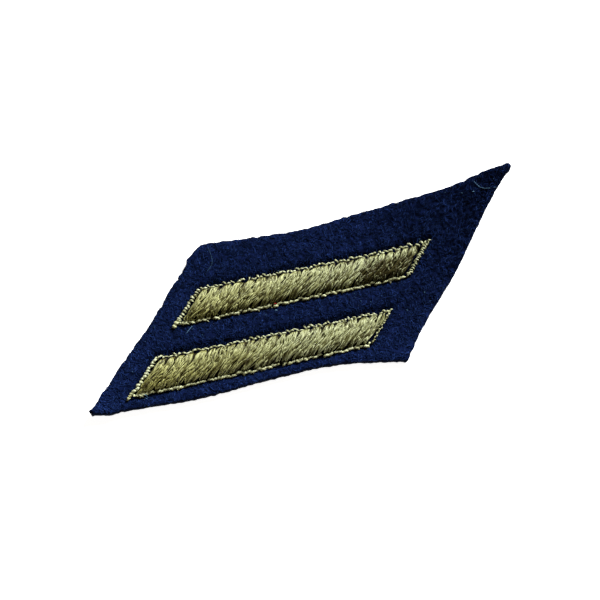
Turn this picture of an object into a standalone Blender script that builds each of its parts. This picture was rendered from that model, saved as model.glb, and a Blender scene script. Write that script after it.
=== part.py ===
"""Service stripe: a hand-cut wool felt ground that carries two slanted, padded embroidery bars.

+X runs along the bars, +Y across them towards the felt's upper cut edge, and +Z is up.
The origin is on the felt's flat back, under the middle of the pair of bars.
The felt lies flat, apart from its long tip at +X +Y, which curls up from the surface.
"""

import math
from collections import namedtuple

import bmesh
import bpy
from mathutils import Vector

MM = 0.001

# The two bars, measured over their outline stitching
BAR_LENGTH = 33.0 * MM
BAR_WIDTH = 4.75 * MM
BAR_TAPER = 0.4 * MM
BAR_PITCH = 8.5 * MM
BAR_END_ANGLE = 48.0
BAR_RISE = 1.15 * MM
BAR_SIDE_HEIGHT = 0.35 * MM
BAR_END_SLOPE = 1.4 * MM

# The row of outline stitching round each bar
OUTLINE_SIDE_WIDTH = 0.35 * MM
OUTLINE_END_WIDTH = 0.6 * MM
OUTLINE_RISE = 0.3 * MM
OUTLINE_GAP = 0.25 * MM

# The felt ground
FELT_THICKNESS = 1.2 * MM
SEAT_DEPTH = 0.4 * MM
SEAT_GAP = 0.3 * MM
MARGIN_LOWER = 2.0 * MM
MARGIN_UPPER = 6.42 * MM
MARGIN_LEFT = 3.4 * MM
MARGIN_RIGHT = 5.1 * MM
CUT_WANDER = 1.15 * MM
SNIP_ALONG_TOP = 0.45 * MM
SNIP_DOWN_SIDE = 2.75 * MM
TOE_RADIUS = 0.2 * MM
HEEL_RADIUS = 0.5 * MM
TIP_RADIUS = 0.45 * MM

# How far each cut edge is off the direction of the bars or of their ends, in degrees
CUT_ANGLE_LOWER = -2.4
CUT_ANGLE_RIGHT = 0.2
CUT_ANGLE_UPPER = 0.2
CUT_ANGLE_LEFT = 0.8

# The long tip curls up, and the short toe at the other end lifts a little
TIP_CURL_RISE = 6.8 * MM
TIP_CURL_REACH = 24.7 * MM
TIP_CURL_ANGLE = 24.0
TOE_CURL_RISE = 0.5 * MM
TOE_CURL_REACH = 7.0 * MM
TOE_CURL_ANGLE = 204.0

# Which row a bar is in, counted in half pitches, and its lean as a share of the taper
Bar = namedtuple("Bar", "name side lean")
BARS = (
    Bar("upper", 1, -0.5),
    Bar("lower", -1, 0.0),
)

# Where a cut edge leaves the straight line: the place along it, and how far out as a share of CUT_WANDER
Bend = namedtuple("Bend", "along out")
LOWER_EDGE = (
    Bend(0.02, 0.30),
    Bend(0.10, 0.12),
    Bend(0.34, 0.12),
    Bend(0.50, -0.43),
    Bend(0.70, -1.00),
    Bend(0.81, -0.96),
    Bend(0.92, -0.43),
)
RIGHT_EDGE = (
    Bend(0.18, -0.27),
    Bend(0.48, 0.06),
    Bend(0.72, -0.17),
    Bend(0.90, -0.26),
)
UPPER_EDGE = (
    Bend(0.06, 0.04),
    Bend(0.18, -0.30),
    Bend(0.32, -0.14),
    Bend(0.50, -0.26),
    Bend(0.67, -0.70),
    Bend(0.84, -0.33),
    Bend(0.95, 0.04),
)
SNIPPED_EDGE = (
    Bend(0.80, 0.12),
)
LEFT_EDGE = (
    Bend(0.05, -0.18),
    Bend(0.16, -0.10),
    Bend(0.42, -0.20),
    Bend(0.64, 0.04),
    Bend(0.90, 0.14),
)

# Fineness of the meshes
EDGE_STEPS = 22
ARC_STEPS = 4
CURL_STEPS = 14
BAR_STATIONS = 26
BAR_FACETS = 8
OUTLINE_SIDE_STEPS = 18
OUTLINE_END_STEPS = 3
CUTTER_OVERSHOOT = 1.0 * MM

# Colours, as linear red, green and blue
FELT_NAVY = (0.0050, 0.0100, 0.0380)
THREAD_OLIVE = (0.2600, 0.2500, 0.1150)
OUTLINE_OLIVE = (0.3300, 0.3300, 0.1600)

Line = namedtuple("Line", "point along")


def clear_scene():
    for found in list(bpy.data.objects):
        bpy.data.objects.remove(found, do_unlink=True)


def material(name, colour, roughness):
    """A plain Principled material; none of the pieces is metal."""
    made = bpy.data.materials.new(name)
    made.use_nodes = True
    shader = made.node_tree.nodes["Principled BSDF"]
    shader.inputs["Base Color"].default_value = (*colour, 1.0)
    shader.inputs["Roughness"].default_value = roughness
    shader.inputs["Metallic"].default_value = 0.0
    return made


def direction(degrees):
    return Vector((math.cos(math.radians(degrees)), math.sin(math.radians(degrees))))


def side_line(point, degrees, outwards):
    """A line through a point, moved to the right of its own direction."""
    along = direction(degrees)
    right = Vector((along.y, -along.x))
    return Line(point + right * outwards, along)


def meet(first, second):
    """The point where two lines cross."""
    between = second.point - first.point
    turn = first.along.x * second.along.y - first.along.y * second.along.x
    share = (between.x * second.along.y - between.y * second.along.x) / turn
    return first.point + first.along * share


def corners(lower, right, upper, left):
    """The four corners of a piece from its side lines, counter-clockwise from the lower left one."""
    return [meet(left, lower), meet(lower, right), meet(right, upper), meet(upper, left)]


def bar_middle(bar):
    """The middles of the bars lie on a line that slants as their ends do."""
    across = bar.side * BAR_PITCH / 2
    return Vector((across / math.tan(math.radians(BAR_END_ANGLE)), across))


def bar_corners(bar, side_outset, end_outset):
    """Corners of a bar's slanted shape, with its long sides and its ends moved outwards."""
    middle = bar_middle(bar)
    narrowing = math.degrees(math.atan(BAR_TAPER / 2 / BAR_LENGTH))
    lean = math.degrees(math.atan(BAR_TAPER * bar.lean / BAR_LENGTH))
    half_width = Vector((0, BAR_WIDTH / 2))
    half_length = Vector((BAR_LENGTH / 2, 0))
    return corners(
        side_line(middle - half_width, lean + narrowing, side_outset),
        side_line(middle + half_length, BAR_END_ANGLE, end_outset),
        side_line(middle + half_width, 180 + lean - narrowing, side_outset),
        side_line(middle - half_length, 180 + BAR_END_ANGLE, end_outset),
    )


def felt_corners():
    """Corners of the felt before they are rounded or snipped, from the bars and the margins."""
    upper_bar, lower_bar = (bar_middle(bar) for bar in BARS)
    half_width = Vector((0, BAR_WIDTH / 2))
    half_length = Vector((BAR_LENGTH / 2, 0))
    return corners(
        side_line(lower_bar - half_width, CUT_ANGLE_LOWER, MARGIN_LOWER),
        side_line(half_length, BAR_END_ANGLE + CUT_ANGLE_RIGHT, MARGIN_RIGHT),
        side_line(upper_bar + half_width, 180 + CUT_ANGLE_UPPER, MARGIN_UPPER),
        side_line(-half_length, 180 + BAR_END_ANGLE + CUT_ANGLE_LEFT, MARGIN_LEFT),
    )


def wander(bends, share):
    """How far a cut edge is out of straight at a share of its length, on a smooth curve."""
    rows = (Bend(0.0, 0.0),) + bends + (Bend(1.0, 0.0),)
    row = 0
    while share > rows[row + 1].along:
        row += 1
    before = rows[max(row - 1, 0)]
    start, end = rows[row], rows[row + 1]
    after = rows[min(row + 2, len(rows) - 1)]
    span = end.along - start.along
    slope_in = (end.out - before.out) / (end.along - before.along) * span
    slope_out = (after.out - start.out) / (after.along - start.along) * span
    t = (share - start.along) / span
    return CUT_WANDER * (
        start.out * (2 * t**3 - 3 * t**2 + 1)
        + slope_in * (t**3 - 2 * t**2 + t)
        + end.out * (3 * t**2 - 2 * t**3)
        + slope_out * (t**3 - t**2)
    )


def cut_edge(start, end, bends, steps=EDGE_STEPS):
    """Points along one cut edge, without its last one."""
    run = end - start
    outwards = Vector((run.y, -run.x)).normalized()
    points = []
    for step in range(steps):
        share = step / steps
        points.append(start + run * share + outwards * wander(bends, share))
    return points


def rounding(corner, before, after, radius):
    """The points of an arc that rounds off a corner between its two neighbours."""
    back = (before - corner).normalized()
    ahead = (after - corner).normalized()
    half_angle = back.angle(ahead) / 2
    centre = corner + (back + ahead).normalized() * (radius / math.sin(half_angle))
    start = corner + back * (radius / math.tan(half_angle)) - centre
    end = corner + ahead * (radius / math.tan(half_angle)) - centre
    turn = math.pi - 2 * half_angle
    points = []
    for step in range(ARC_STEPS + 1):
        share = step / ARC_STEPS
        weight_start = math.sin((1 - share) * turn) / math.sin(turn)
        weight_end = math.sin(share * turn) / math.sin(turn)
        points.append(centre + start * weight_start + end * weight_end)
    return points


def felt_outline():
    """The felt's cut outline, counter-clockwise from the toe at its lower left."""
    toe, heel, tip, shoulder = felt_corners()
    toe_arc = rounding(toe, shoulder, heel, TOE_RADIUS)
    heel_arc = rounding(heel, toe, tip, HEEL_RADIUS)
    tip_arc = rounding(tip, heel, shoulder, TIP_RADIUS)
    snip_top = shoulder + (tip - shoulder).normalized() * SNIP_ALONG_TOP
    snip_side = shoulder + (toe - shoulder).normalized() * SNIP_DOWN_SIDE
    outline = toe_arc[:-1]
    outline += cut_edge(toe_arc[-1], heel_arc[0], LOWER_EDGE)
    outline += heel_arc[:-1]
    outline += cut_edge(heel_arc[-1], tip_arc[0], RIGHT_EDGE)
    outline += tip_arc[:-1]
    outline += cut_edge(tip_arc[-1], snip_top, UPPER_EDGE)
    outline += cut_edge(snip_top, snip_side, SNIPPED_EDGE, ARC_STEPS)
    outline += cut_edge(snip_side, toe_arc[0], LEFT_EDGE)
    return outline


def curls():
    """Each curl as the felt corner that it lifts, its direction, its reach and its rise."""
    toe, _, tip, _ = felt_corners()
    return (
        (tip, direction(TIP_CURL_ANGLE), TIP_CURL_REACH, TIP_CURL_RISE),
        (toe, direction(TOE_CURL_ANGLE), TOE_CURL_REACH, TOE_CURL_RISE),
    )


def lift(x, y):
    """How high the curls raise the felt, and what is sewn on it, at one place."""
    height = 0.0
    for corner, towards, reach, rise in curls():
        share = 1 + (Vector((x, y)) - corner).dot(towards) / reach
        height += rise * max(share, 0.0) ** 2
    return height


def score_curls(mesh):
    """Cut the faces across each curl, so that they can follow it."""
    for corner, towards, reach, _ in curls():
        for step in range(CURL_STEPS):
            point = corner - towards * reach * (1 - step / CURL_STEPS)
            bmesh.ops.bisect_plane(
                mesh,
                geom=mesh.verts[:] + mesh.edges[:] + mesh.faces[:],
                dist=0.001 * MM,
                plane_co=(point.x, point.y, 0),
                plane_no=(towards.x, towards.y, 0),
            )


def raise_on_curls(mesh):
    for vertex in mesh.verts:
        vertex.co.z += lift(vertex.co.x, vertex.co.y)


def new_object(name, mesh, finish, parent):
    """Turn a finished bmesh into a named object that hangs on the parent empty."""
    bmesh.ops.recalc_face_normals(mesh, faces=mesh.faces[:])
    data = bpy.data.meshes.new(name)
    mesh.to_mesh(data)
    mesh.free()
    data.materials.append(finish)
    made = bpy.data.objects.new(name, data)
    made.parent = parent
    bpy.context.scene.collection.objects.link(made)
    return made


def prism(outline, low, high):
    """A closed upright solid with the given outline."""
    mesh = bmesh.new()
    base = mesh.faces.new([mesh.verts.new((point.x, point.y, low)) for point in outline])
    sides = bmesh.ops.extrude_face_region(mesh, geom=[base])
    raised = [found for found in sides["geom"] if isinstance(found, bmesh.types.BMVert)]
    bmesh.ops.translate(mesh, verts=raised, vec=(0, 0, high - low))
    return mesh


def seat_cutter(bar, parent):
    """A guide that presses one bar's seat into the felt."""
    outline = bar_corners(bar, SEAT_GAP, SEAT_GAP)
    mesh = prism(outline, FELT_THICKNESS - SEAT_DEPTH, FELT_THICKNESS + CUTTER_OVERSHOOT)
    cutter = new_object(f"seat_cutter_{bar.name}", mesh, None, parent)
    cutter.hide_render = True
    cutter.display_type = "WIRE"
    return cutter


def felt_ground(finish, parent):
    """The felt: cut flat, pressed in under the bars, then curled."""
    felt = new_object("felt_ground", prism(felt_outline(), 0.0, FELT_THICKNESS), finish, parent)
    for bar in BARS:
        press = felt.modifiers.new(f"seat_{bar.name}", "BOOLEAN")
        press.operation = "DIFFERENCE"
        press.solver = "EXACT"
        press.object = seat_cutter(bar, parent)
    depsgraph = bpy.context.evaluated_depsgraph_get()
    pressed = bpy.data.meshes.new_from_object(felt.evaluated_get(depsgraph))
    mesh = bmesh.new()
    mesh.from_mesh(pressed)
    score_curls(mesh)
    raise_on_curls(mesh)
    mesh.to_mesh(pressed)
    mesh.free()
    felt.modifiers.clear()
    felt.data = pressed
    pressed.name = "felt_ground"
    return felt


def crowding(step, steps):
    """A share from 0 to 1 that crowds the steps towards both ends."""
    return 0.5 - 0.5 * math.cos(math.pi * step / steps)


def place_in(quad, along, across):
    """The point at two shares of a four-cornered shape."""
    lower_left, lower_right, upper_right, upper_left = quad
    low = lower_left.lerp(lower_right, along)
    high = upper_left.lerp(upper_right, along)
    return low.lerp(high, across)


def dome(along, across):
    """The padded bar's height as a share of its rise, full along the middle and low at the rim."""
    rounded = math.sqrt(1 - abs(2 * across - 1) ** 2.4)
    from_end = min(along, 1 - along) * BAR_LENGTH / BAR_END_SLOPE
    falling = math.sqrt(1 - (1 - min(from_end, 1.0)) ** 2)
    return rounded * falling


def padded_bar(bar, finish, parent):
    """One bar of satin stitching over padding, as a domed solid with slanted ends."""
    inset_side = -OUTLINE_SIDE_WIDTH - OUTLINE_GAP
    inset_end = -OUTLINE_END_WIDTH - OUTLINE_GAP
    quad = bar_corners(bar, inset_side, inset_end)
    bottom = FELT_THICKNESS - SEAT_DEPTH + SEAT_GAP
    mesh = bmesh.new()
    bmesh.ops.create_grid(mesh, x_segments=BAR_STATIONS, y_segments=BAR_FACETS, size=0.5)
    shares = {}
    for vertex in mesh.verts:
        station = round((vertex.co.x + 0.5) * BAR_STATIONS)
        facet = round((vertex.co.y + 0.5) * BAR_FACETS)
        share = (crowding(station, BAR_STATIONS), crowding(facet, BAR_FACETS))
        point = place_in(quad, *share)
        vertex.co = (point.x, point.y, bottom)
        shares[vertex] = share
    skin = bmesh.ops.extrude_face_region(mesh, geom=mesh.faces[:])
    for vertex in [found for found in skin["geom"] if isinstance(found, bmesh.types.BMVert)]:
        below = min(shares, key=lambda kept: (kept.co.xy - vertex.co.xy).length)
        swell = FELT_THICKNESS + BAR_RISE - bottom - BAR_SIDE_HEIGHT
        vertex.co.z = bottom + BAR_SIDE_HEIGHT + swell * dome(*shares[below])
    raise_on_curls(mesh)
    return new_object(f"bar_{bar.name}", mesh, finish, parent)


def ring_points(quad):
    """Evenly spaced points round a four-cornered shape, more of them on its long sides."""
    points = []
    for side, steps in enumerate((OUTLINE_SIDE_STEPS, OUTLINE_END_STEPS) * 2):
        start, end = quad[side], quad[(side + 1) % 4]
        points += [start.lerp(end, step / steps) for step in range(steps)]
    return points


def outline_ring(bar, finish, parent):
    """The row of narrow stitching round one bar, as a low closed ring."""
    outside = ring_points(bar_corners(bar, 0.0, 0.0))
    inside = ring_points(bar_corners(bar, -OUTLINE_SIDE_WIDTH, -OUTLINE_END_WIDTH))
    bottom = FELT_THICKNESS - SEAT_DEPTH + SEAT_GAP
    mesh = bmesh.new()
    rings = [[mesh.verts.new((p.x, p.y, bottom)) for p in points] for points in (outside, inside)]
    edges = []
    for ring in rings:
        edges += [mesh.edges.new((ring[i - 1], ring[i])) for i in range(len(ring))]
    bmesh.ops.bridge_loops(mesh, edges=edges)
    raised = bmesh.ops.extrude_face_region(mesh, geom=mesh.faces[:])
    tops = [found for found in raised["geom"] if isinstance(found, bmesh.types.BMVert)]
    bmesh.ops.translate(mesh, verts=tops, vec=(0, 0, FELT_THICKNESS + OUTLINE_RISE - bottom))
    raise_on_curls(mesh)
    return new_object(f"outline_{bar.name}", mesh, finish, parent)


def build():
    clear_scene()
    stripe = bpy.data.objects.new("service_stripe", None)
    bpy.context.scene.collection.objects.link(stripe)
    felt_ground(material("navy_felt", FELT_NAVY, 0.95), stripe)
    for bar in BARS:
        padded_bar(bar, material(f"bar_thread_{bar.name}", THREAD_OLIVE, 0.5), stripe)
        outline_ring(bar, material(f"outline_thread_{bar.name}", OUTLINE_OLIVE, 0.6), stripe)


build()
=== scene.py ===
# %% [markdown]
# # A service stripe: two stitched bars on navy felt
# The real object is a slanted piece of thick wool felt, cut by hand. Two bars of floss are
# embroidered on it: each is a pad covered with slanted satin stitches, with a row of narrow
# stitching round it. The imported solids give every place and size. This lesson dresses them:
# a fibrous felt sheet, thousands of floss filaments, the outline stitches and loose lint.

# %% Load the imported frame
import math

import bmesh
import bpy
import numpy as np
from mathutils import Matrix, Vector
from mathutils.bvhtree import BVHTree


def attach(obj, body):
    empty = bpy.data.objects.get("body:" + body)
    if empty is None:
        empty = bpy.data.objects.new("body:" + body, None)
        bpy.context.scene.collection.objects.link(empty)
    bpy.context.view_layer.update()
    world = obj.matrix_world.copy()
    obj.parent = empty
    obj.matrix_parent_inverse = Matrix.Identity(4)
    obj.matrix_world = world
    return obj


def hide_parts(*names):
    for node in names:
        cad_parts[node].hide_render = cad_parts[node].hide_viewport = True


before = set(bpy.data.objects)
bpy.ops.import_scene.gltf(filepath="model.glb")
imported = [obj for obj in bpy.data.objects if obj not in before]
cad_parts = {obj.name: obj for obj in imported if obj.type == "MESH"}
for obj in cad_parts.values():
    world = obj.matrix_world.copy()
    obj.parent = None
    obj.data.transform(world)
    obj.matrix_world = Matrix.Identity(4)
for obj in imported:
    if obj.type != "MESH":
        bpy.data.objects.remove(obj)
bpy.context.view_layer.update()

MM = 0.001
for node_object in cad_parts.values():
    node_object.select_set(False)
print("solids:", sorted(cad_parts))

# %% [markdown]
# ## Reading the felt from the frame
# The felt's underside is the one smooth surface that everything else follows: the sheet, the
# stitches and the nap all stand on it, curled tip included. A search tree over the underside's
# faces answers "how high is the felt here", and the loop of edges round them is the cut outline.


# %% The felt's underside and outline
def welded(node):
    """A bmesh copy of a CAD node with its loose triangles joined."""
    mesh = bmesh.new()
    mesh.from_mesh(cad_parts[node].data)
    bmesh.ops.remove_doubles(mesh, verts=mesh.verts[:], dist=0.001 * MM)
    mesh.normal_update()
    return mesh


felt_solid = welded("felt_ground")
underside = [face for face in felt_solid.faces if face.normal.z < -0.5]
underside_set = set(underside)
walls = [e.calc_length() for v in {v for face in underside for v in face.verts}
         for e in v.link_edges if not any(face in underside_set for face in e.link_faces)]
FELT_THICKNESS = float(np.median(walls))
FLAT_AREA = sum(face.calc_area() for face in underside)
corner_of = {}
for face in underside:
    for vertex in face.verts:
        corner_of.setdefault(vertex, len(corner_of))
underside_tree = BVHTree.FromPolygons(
    [vertex.co.copy() for vertex in corner_of],
    [[corner_of[vertex] for vertex in face.verts] for face in underside],
)
BELOW_ALL = -1.0
NEAREST_ROUNDS = 4


def underside_height(x, y):
    """The height of the felt's underside, or of its nearest point for places past its edge."""
    hit = underside_tree.ray_cast(Vector((x, y, BELOW_ALL)), Vector((0, 0, 1)))[0]
    if hit is None:
        hit = Vector((x, y, 0.0))
        for _ in range(NEAREST_ROUNDS):
            hit = underside_tree.find_nearest(Vector((x, y, hit.z)))[0]
    return hit.z


def ordered_outline():
    """The cut outline as points in order, from the edges where the underside stops."""
    border = [e for e in felt_solid.edges if sum(f in underside_set for f in e.link_faces) == 1]
    ends = {}
    for edge in border:
        for vertex in edge.verts:
            ends.setdefault(vertex, []).append(edge.other_vert(vertex))
    start = border[0].verts[0]
    loop, before, here = [start], None, start
    while True:
        after = next(v for v in ends[here] if v is not before)
        if after is start:
            break
        loop.append(after)
        before, here = here, after
    points = np.array([vertex.co[:2] for vertex in loop])
    x, y = points.T
    turning = np.sum(x * np.roll(y, -1) - np.roll(x, -1) * y)
    return points if turning > 0 else points[::-1]


outline = ordered_outline()
print(f"felt: {len(outline)} outline points, {FELT_THICKNESS / MM:.2f} mm thick,"
      f" {FLAT_AREA / MM**2:.0f} square mm flat")

# %% A smooth chart of the underside's height
CHART_STEP = 0.4 * MM
CHART_MARGIN = 3 * MM
chart_low = outline.min(axis=0) - CHART_MARGIN
chart_size = np.ceil((outline.max(axis=0) + CHART_MARGIN - chart_low) / CHART_STEP).astype(int)
chart = np.array([[underside_height(*(chart_low + CHART_STEP * np.array((column, row))))
                   for row in range(chart_size[1] + 1)] for column in range(chart_size[0] + 1)])


def heights(points):
    """The underside's height at an array of places, read between the points of the chart."""
    place = np.clip((points[..., :2] - chart_low) / CHART_STEP, 0, chart_size - 0.001)
    column, row = np.floor(place).astype(int).transpose(-1, *range(place.ndim - 1))
    right, up = (place - np.floor(place)).transpose(-1, *range(place.ndim - 1))
    lower = chart[column, row] * (1 - right) + chart[column + 1, row] * right
    upper = chart[column, row + 1] * (1 - right) + chart[column + 1, row + 1] * right
    return lower * (1 - up) + upper * up


# %% Finding the cut edge
SEARCH_BATCH = 4000


def nearest_on_outline(points):
    """For each place, how far the cut outline is and which way is out of the felt there."""
    starts = outline
    runs = np.roll(outline, -1, axis=0) - starts
    lengths = np.sum(runs**2, axis=1)
    distances = np.empty(len(points))
    outwards = np.empty((len(points), 2))
    for first in range(0, len(points), SEARCH_BATCH):
        batch = slice(first, first + SEARCH_BATCH)
        part = points[batch, None, :2]
        share = np.clip(np.sum((part - starts) * runs, axis=2) / lengths, 0, 1)
        gaps = np.linalg.norm(part - starts - share[..., None] * runs, axis=2)
        best = np.argmin(gaps, axis=1)
        distances[batch] = gaps[np.arange(len(best)), best]
        out = np.column_stack([runs[best, 1], -runs[best, 0]])
        outwards[batch] = out / np.linalg.norm(out, axis=1)[:, None]
    return distances, outwards


def inside_outline(points):
    """Which places are inside the cut outline, by counting the edges to their right."""
    starts, ends = outline, np.roll(outline, -1, axis=0)
    x, y = points[:, :1], points[:, 1:2]
    crosses = (starts[:, 1] > y) != (ends[:, 1] > y)
    rise = np.where(ends[:, 1] == starts[:, 1], 1, ends[:, 1] - starts[:, 1])
    at = starts[:, 0] + (y - starts[:, 1]) / rise * (ends[:, 0] - starts[:, 0])
    return np.sum(crosses & (x < at), axis=1) % 2 == 1


# %% Lumps and ramps
def lumps(points, length, seed):
    """Smooth random lumps from -1 to 1, as far apart as the given length."""
    scaled = points / length
    first = np.floor(scaled.min(axis=0)).astype(int)
    cells = np.floor(scaled).astype(int) - first
    lattice = np.random.default_rng(seed).uniform(-1, 1, cells.max(axis=0) + 2)
    part = scaled - np.floor(scaled)
    part = part * part * (3 - 2 * part)
    total = np.zeros(len(points))
    for corner in np.ndindex((2,) * points.shape[1]):
        weight = np.prod(np.where(np.array(corner) == 1, part, 1 - part), axis=1)
        total += weight * lattice[tuple((cells + np.array(corner)).T)]
    return total


def ramp(places, start, end, amount=1.0):
    """Nothing as far as the start, rising evenly to the whole amount at the end, which may be lower."""
    return amount * np.clip((places - start) / (end - start), 0, 1)


def ramps(places, steps):
    """What several ramps add up to, each given as its start, its end and its amount."""
    return sum(ramp(places, *step) for step in steps)


# %% [markdown]
# ## Reading the bars from the frame
# Each bar is a slanted four-sided shape. Its corners are the solid's outermost points in four
# slanted directions, so they stay right if the solids change.


# %% The bars' corners
SLANT_LEAN = 2.0


def slanted_corners(node):
    """Lower left, lower right, upper right and upper left corners of a slanted solid, in plan."""
    points = np.array([v.co[:2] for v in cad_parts[node].data.vertices])
    x, y = points.T
    picks = (np.argmin(x), np.argmax(x - SLANT_LEAN * y), np.argmax(x), np.argmax(SLANT_LEAN * y - x))
    return points[list(picks)]


BAR_NAMES = ("upper", "lower")
bar_quads = {bar: slanted_corners(f"outline_{bar}") for bar in BAR_NAMES}
BAR_RISE = float(max(v.co.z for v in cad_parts["bar_lower"].data.vertices)) - FELT_THICKNESS
for bar in BAR_NAMES:
    print(bar, "bar corners in mm:", np.round(bar_quads[bar] / MM, 2).tolist())


# %% Lines and four-sided shapes in plan
def line_between(start, end):
    """How long a straight line in plan is, the way along it and the way to its left."""
    length = np.linalg.norm(end - start)
    run = (end - start) / length
    return length, run, np.array([-run[1], run[0]])


def moved_sides(quad, insets):
    """A four-sided shape whose lower, right, upper and left sides are each moved inwards."""
    lines = []
    for start, end, inset in zip(quad, np.roll(quad, -1, axis=0), insets):
        _, run, inwards = line_between(start, end)
        lines.append((start + inset * inwards, run))
    corners = []
    for k in range(4):
        (p, d), (q, e) = lines[k - 1], lines[k]
        between = q - p
        share = (between[0] * e[1] - between[1] * e[0]) / (d[0] * e[1] - d[1] * e[0])
        corners.append(p + d * share)
    return np.array(corners)


def distance_outside(points, quad):
    """How far places are outside a four-sided shape; less than nothing inside it."""
    nearest = np.full(points.shape[:-1], np.inf)
    inside = np.ones(points.shape[:-1], bool)
    for start, end in zip(quad, np.roll(quad, -1, axis=0)):
        run = end - start
        share = np.clip(((points - start) @ run) / (run @ run), 0, 1)
        gap = np.linalg.norm(points - start - share[..., None] * run, axis=-1)
        nearest = np.minimum(nearest, gap)
        inside &= run[0] * (points[..., 1] - start[1]) - run[1] * (points[..., 0] - start[0]) > 0
    return np.where(inside, -nearest, nearest)


# %% [markdown]
# ## Camera, floor and light
# The camera looks steeply down, from in front of the stripe and a little from its left, as a
# close-up photograph of a small thing on a table does. The floor is a plain pale light table,
# which glows a little and so keeps shadows faint. One large soft panel stands behind the stripe
# to its right. It is low enough for the far slopes of the bars to shine and the near slopes to
# fall into shade, and it leaves the curled tip darker than the flat felt.

# %% Camera
CAMERA_ELEVATION = math.radians(70.0)
CAMERA_TURN = math.radians(-12.65)
CAMERA_DISTANCE = 140 * MM
CAMERA_LENS = 60.48
AIM = Vector((2.77, 2.41, 0.0)) * MM

bpy.ops.object.camera_add(rotation=(math.pi / 2 - CAMERA_ELEVATION, 0, CAMERA_TURN))
camera = bpy.context.object
camera.name = "close_up_camera"
camera.data.lens = CAMERA_LENS
camera.data.clip_start = 1 * MM
towards = camera.rotation_euler.to_matrix() @ Vector((0, 0, -1))
camera.location = AIM - towards * CAMERA_DISTANCE
bpy.context.scene.camera = camera

# %% Floor
FLOOR_SIZE = 4.0
FLOOR_DROP = 0.02 * MM
FLOOR_GLOW = 0.94

bpy.ops.mesh.primitive_plane_add(size=FLOOR_SIZE, location=(0, 0, -FLOOR_DROP))
floor = bpy.context.object
floor.name = "floor"
paint = bpy.data.materials.new("pale_light_table")
paint.use_nodes = True
paint_shader = paint.node_tree.nodes["Principled BSDF"]
paint_shader.inputs["Base Color"].default_value = (0.9, 0.9, 0.9, 1)
paint_shader.inputs["Roughness"].default_value = 0.9
paint_shader.inputs["Specular IOR Level"].default_value = 0.1
paint_shader.inputs["Emission Color"].default_value = (1, 1, 1, 1)
paint_shader.inputs["Emission Strength"].default_value = FLOOR_GLOW
floor.data.materials.append(paint)

# %% Light
SKY_STRENGTH = 0.08
SKY_COLOUR = (1.0, 0.84, 0.56, 1)
PANEL_COLOUR = (0.97, 1.0, 1.04)
PANEL_POWER = 9.0
PANEL_SIZE = 0.14
PANEL_PLACE = Vector((0.40, 0.36, 0.38))

sky = bpy.data.worlds.new("soft_sky")
sky.use_nodes = True
sky.node_tree.nodes["Background"].inputs["Color"].default_value = SKY_COLOUR
sky.node_tree.nodes["Background"].inputs["Strength"].default_value = SKY_STRENGTH
bpy.context.scene.world = sky
bpy.ops.object.light_add(type="AREA", location=PANEL_PLACE)
panel = bpy.context.object
panel.name = "soft_panel"
panel.data.size = PANEL_SIZE
panel.data.energy = PANEL_POWER
panel.data.color = PANEL_COLOUR
panel.rotation_euler = (-PANEL_PLACE).to_track_quat("-Z", "Y").to_euler()
bpy.context.scene.view_settings.view_transform = "Standard"

# %% [markdown]
# ## Shared finishes
# Some effects serve several materials, so each is a node group. "Fibre tone" mixes a deep and a
# pale colour by a slow mottle and by each fibre's own tone, which also carries painted light and
# shade. It makes the middle tones richer and the deep ones warmer, tints what is golden, and
# darkens what has painted shade: the felt and its nap beside the stitching, and the cut walls. The
# tone, the gold and the shade are numbers stored on the meshes. The two reliefs give bump its
# height: fine fibres that cross, as in felt, or that all lie one way, as in floss.

# %% Node group helpers
def add_node(tree, kind, inputs=(), **settings):
    """A new shader node with its settings and its plain input values."""
    node = tree.nodes.new(f"ShaderNode{kind}")
    for key, value in settings.items():
        setattr(node, key, value)
    for socket, value in dict(inputs).items():
        node.inputs[socket].default_value = value
    return node


def new_group(name, inputs, output, output_kind):
    """An empty shader node group with named sockets, and its two ends by name."""
    group = bpy.data.node_groups.new(name, "ShaderNodeTree")
    for socket, value in inputs.items():
        kind = "NodeSocketFloat" if isinstance(value, float) else "NodeSocketColor"
        group.interface.new_socket(socket, in_out="INPUT", socket_type=kind).default_value = value
    group.interface.new_socket(output, in_out="OUTPUT", socket_type=output_kind)
    ends = {"given": group.nodes.new("NodeGroupInput"), "result": group.nodes.new("NodeGroupOutput")}
    return group, ends


def wire(tree, nodes, *wires):
    """Join sockets. A wire reads "node.Output > node.Input", and sockets of one name are numbered."""
    for joined in wires:
        (source, output), (target, entry) = (end.split(".") for end in joined.split(" > "))
        entry = int(entry) if entry.isdigit() else entry
        tree.links.new(nodes[source].outputs[output], nodes[target].inputs[entry])


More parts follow.
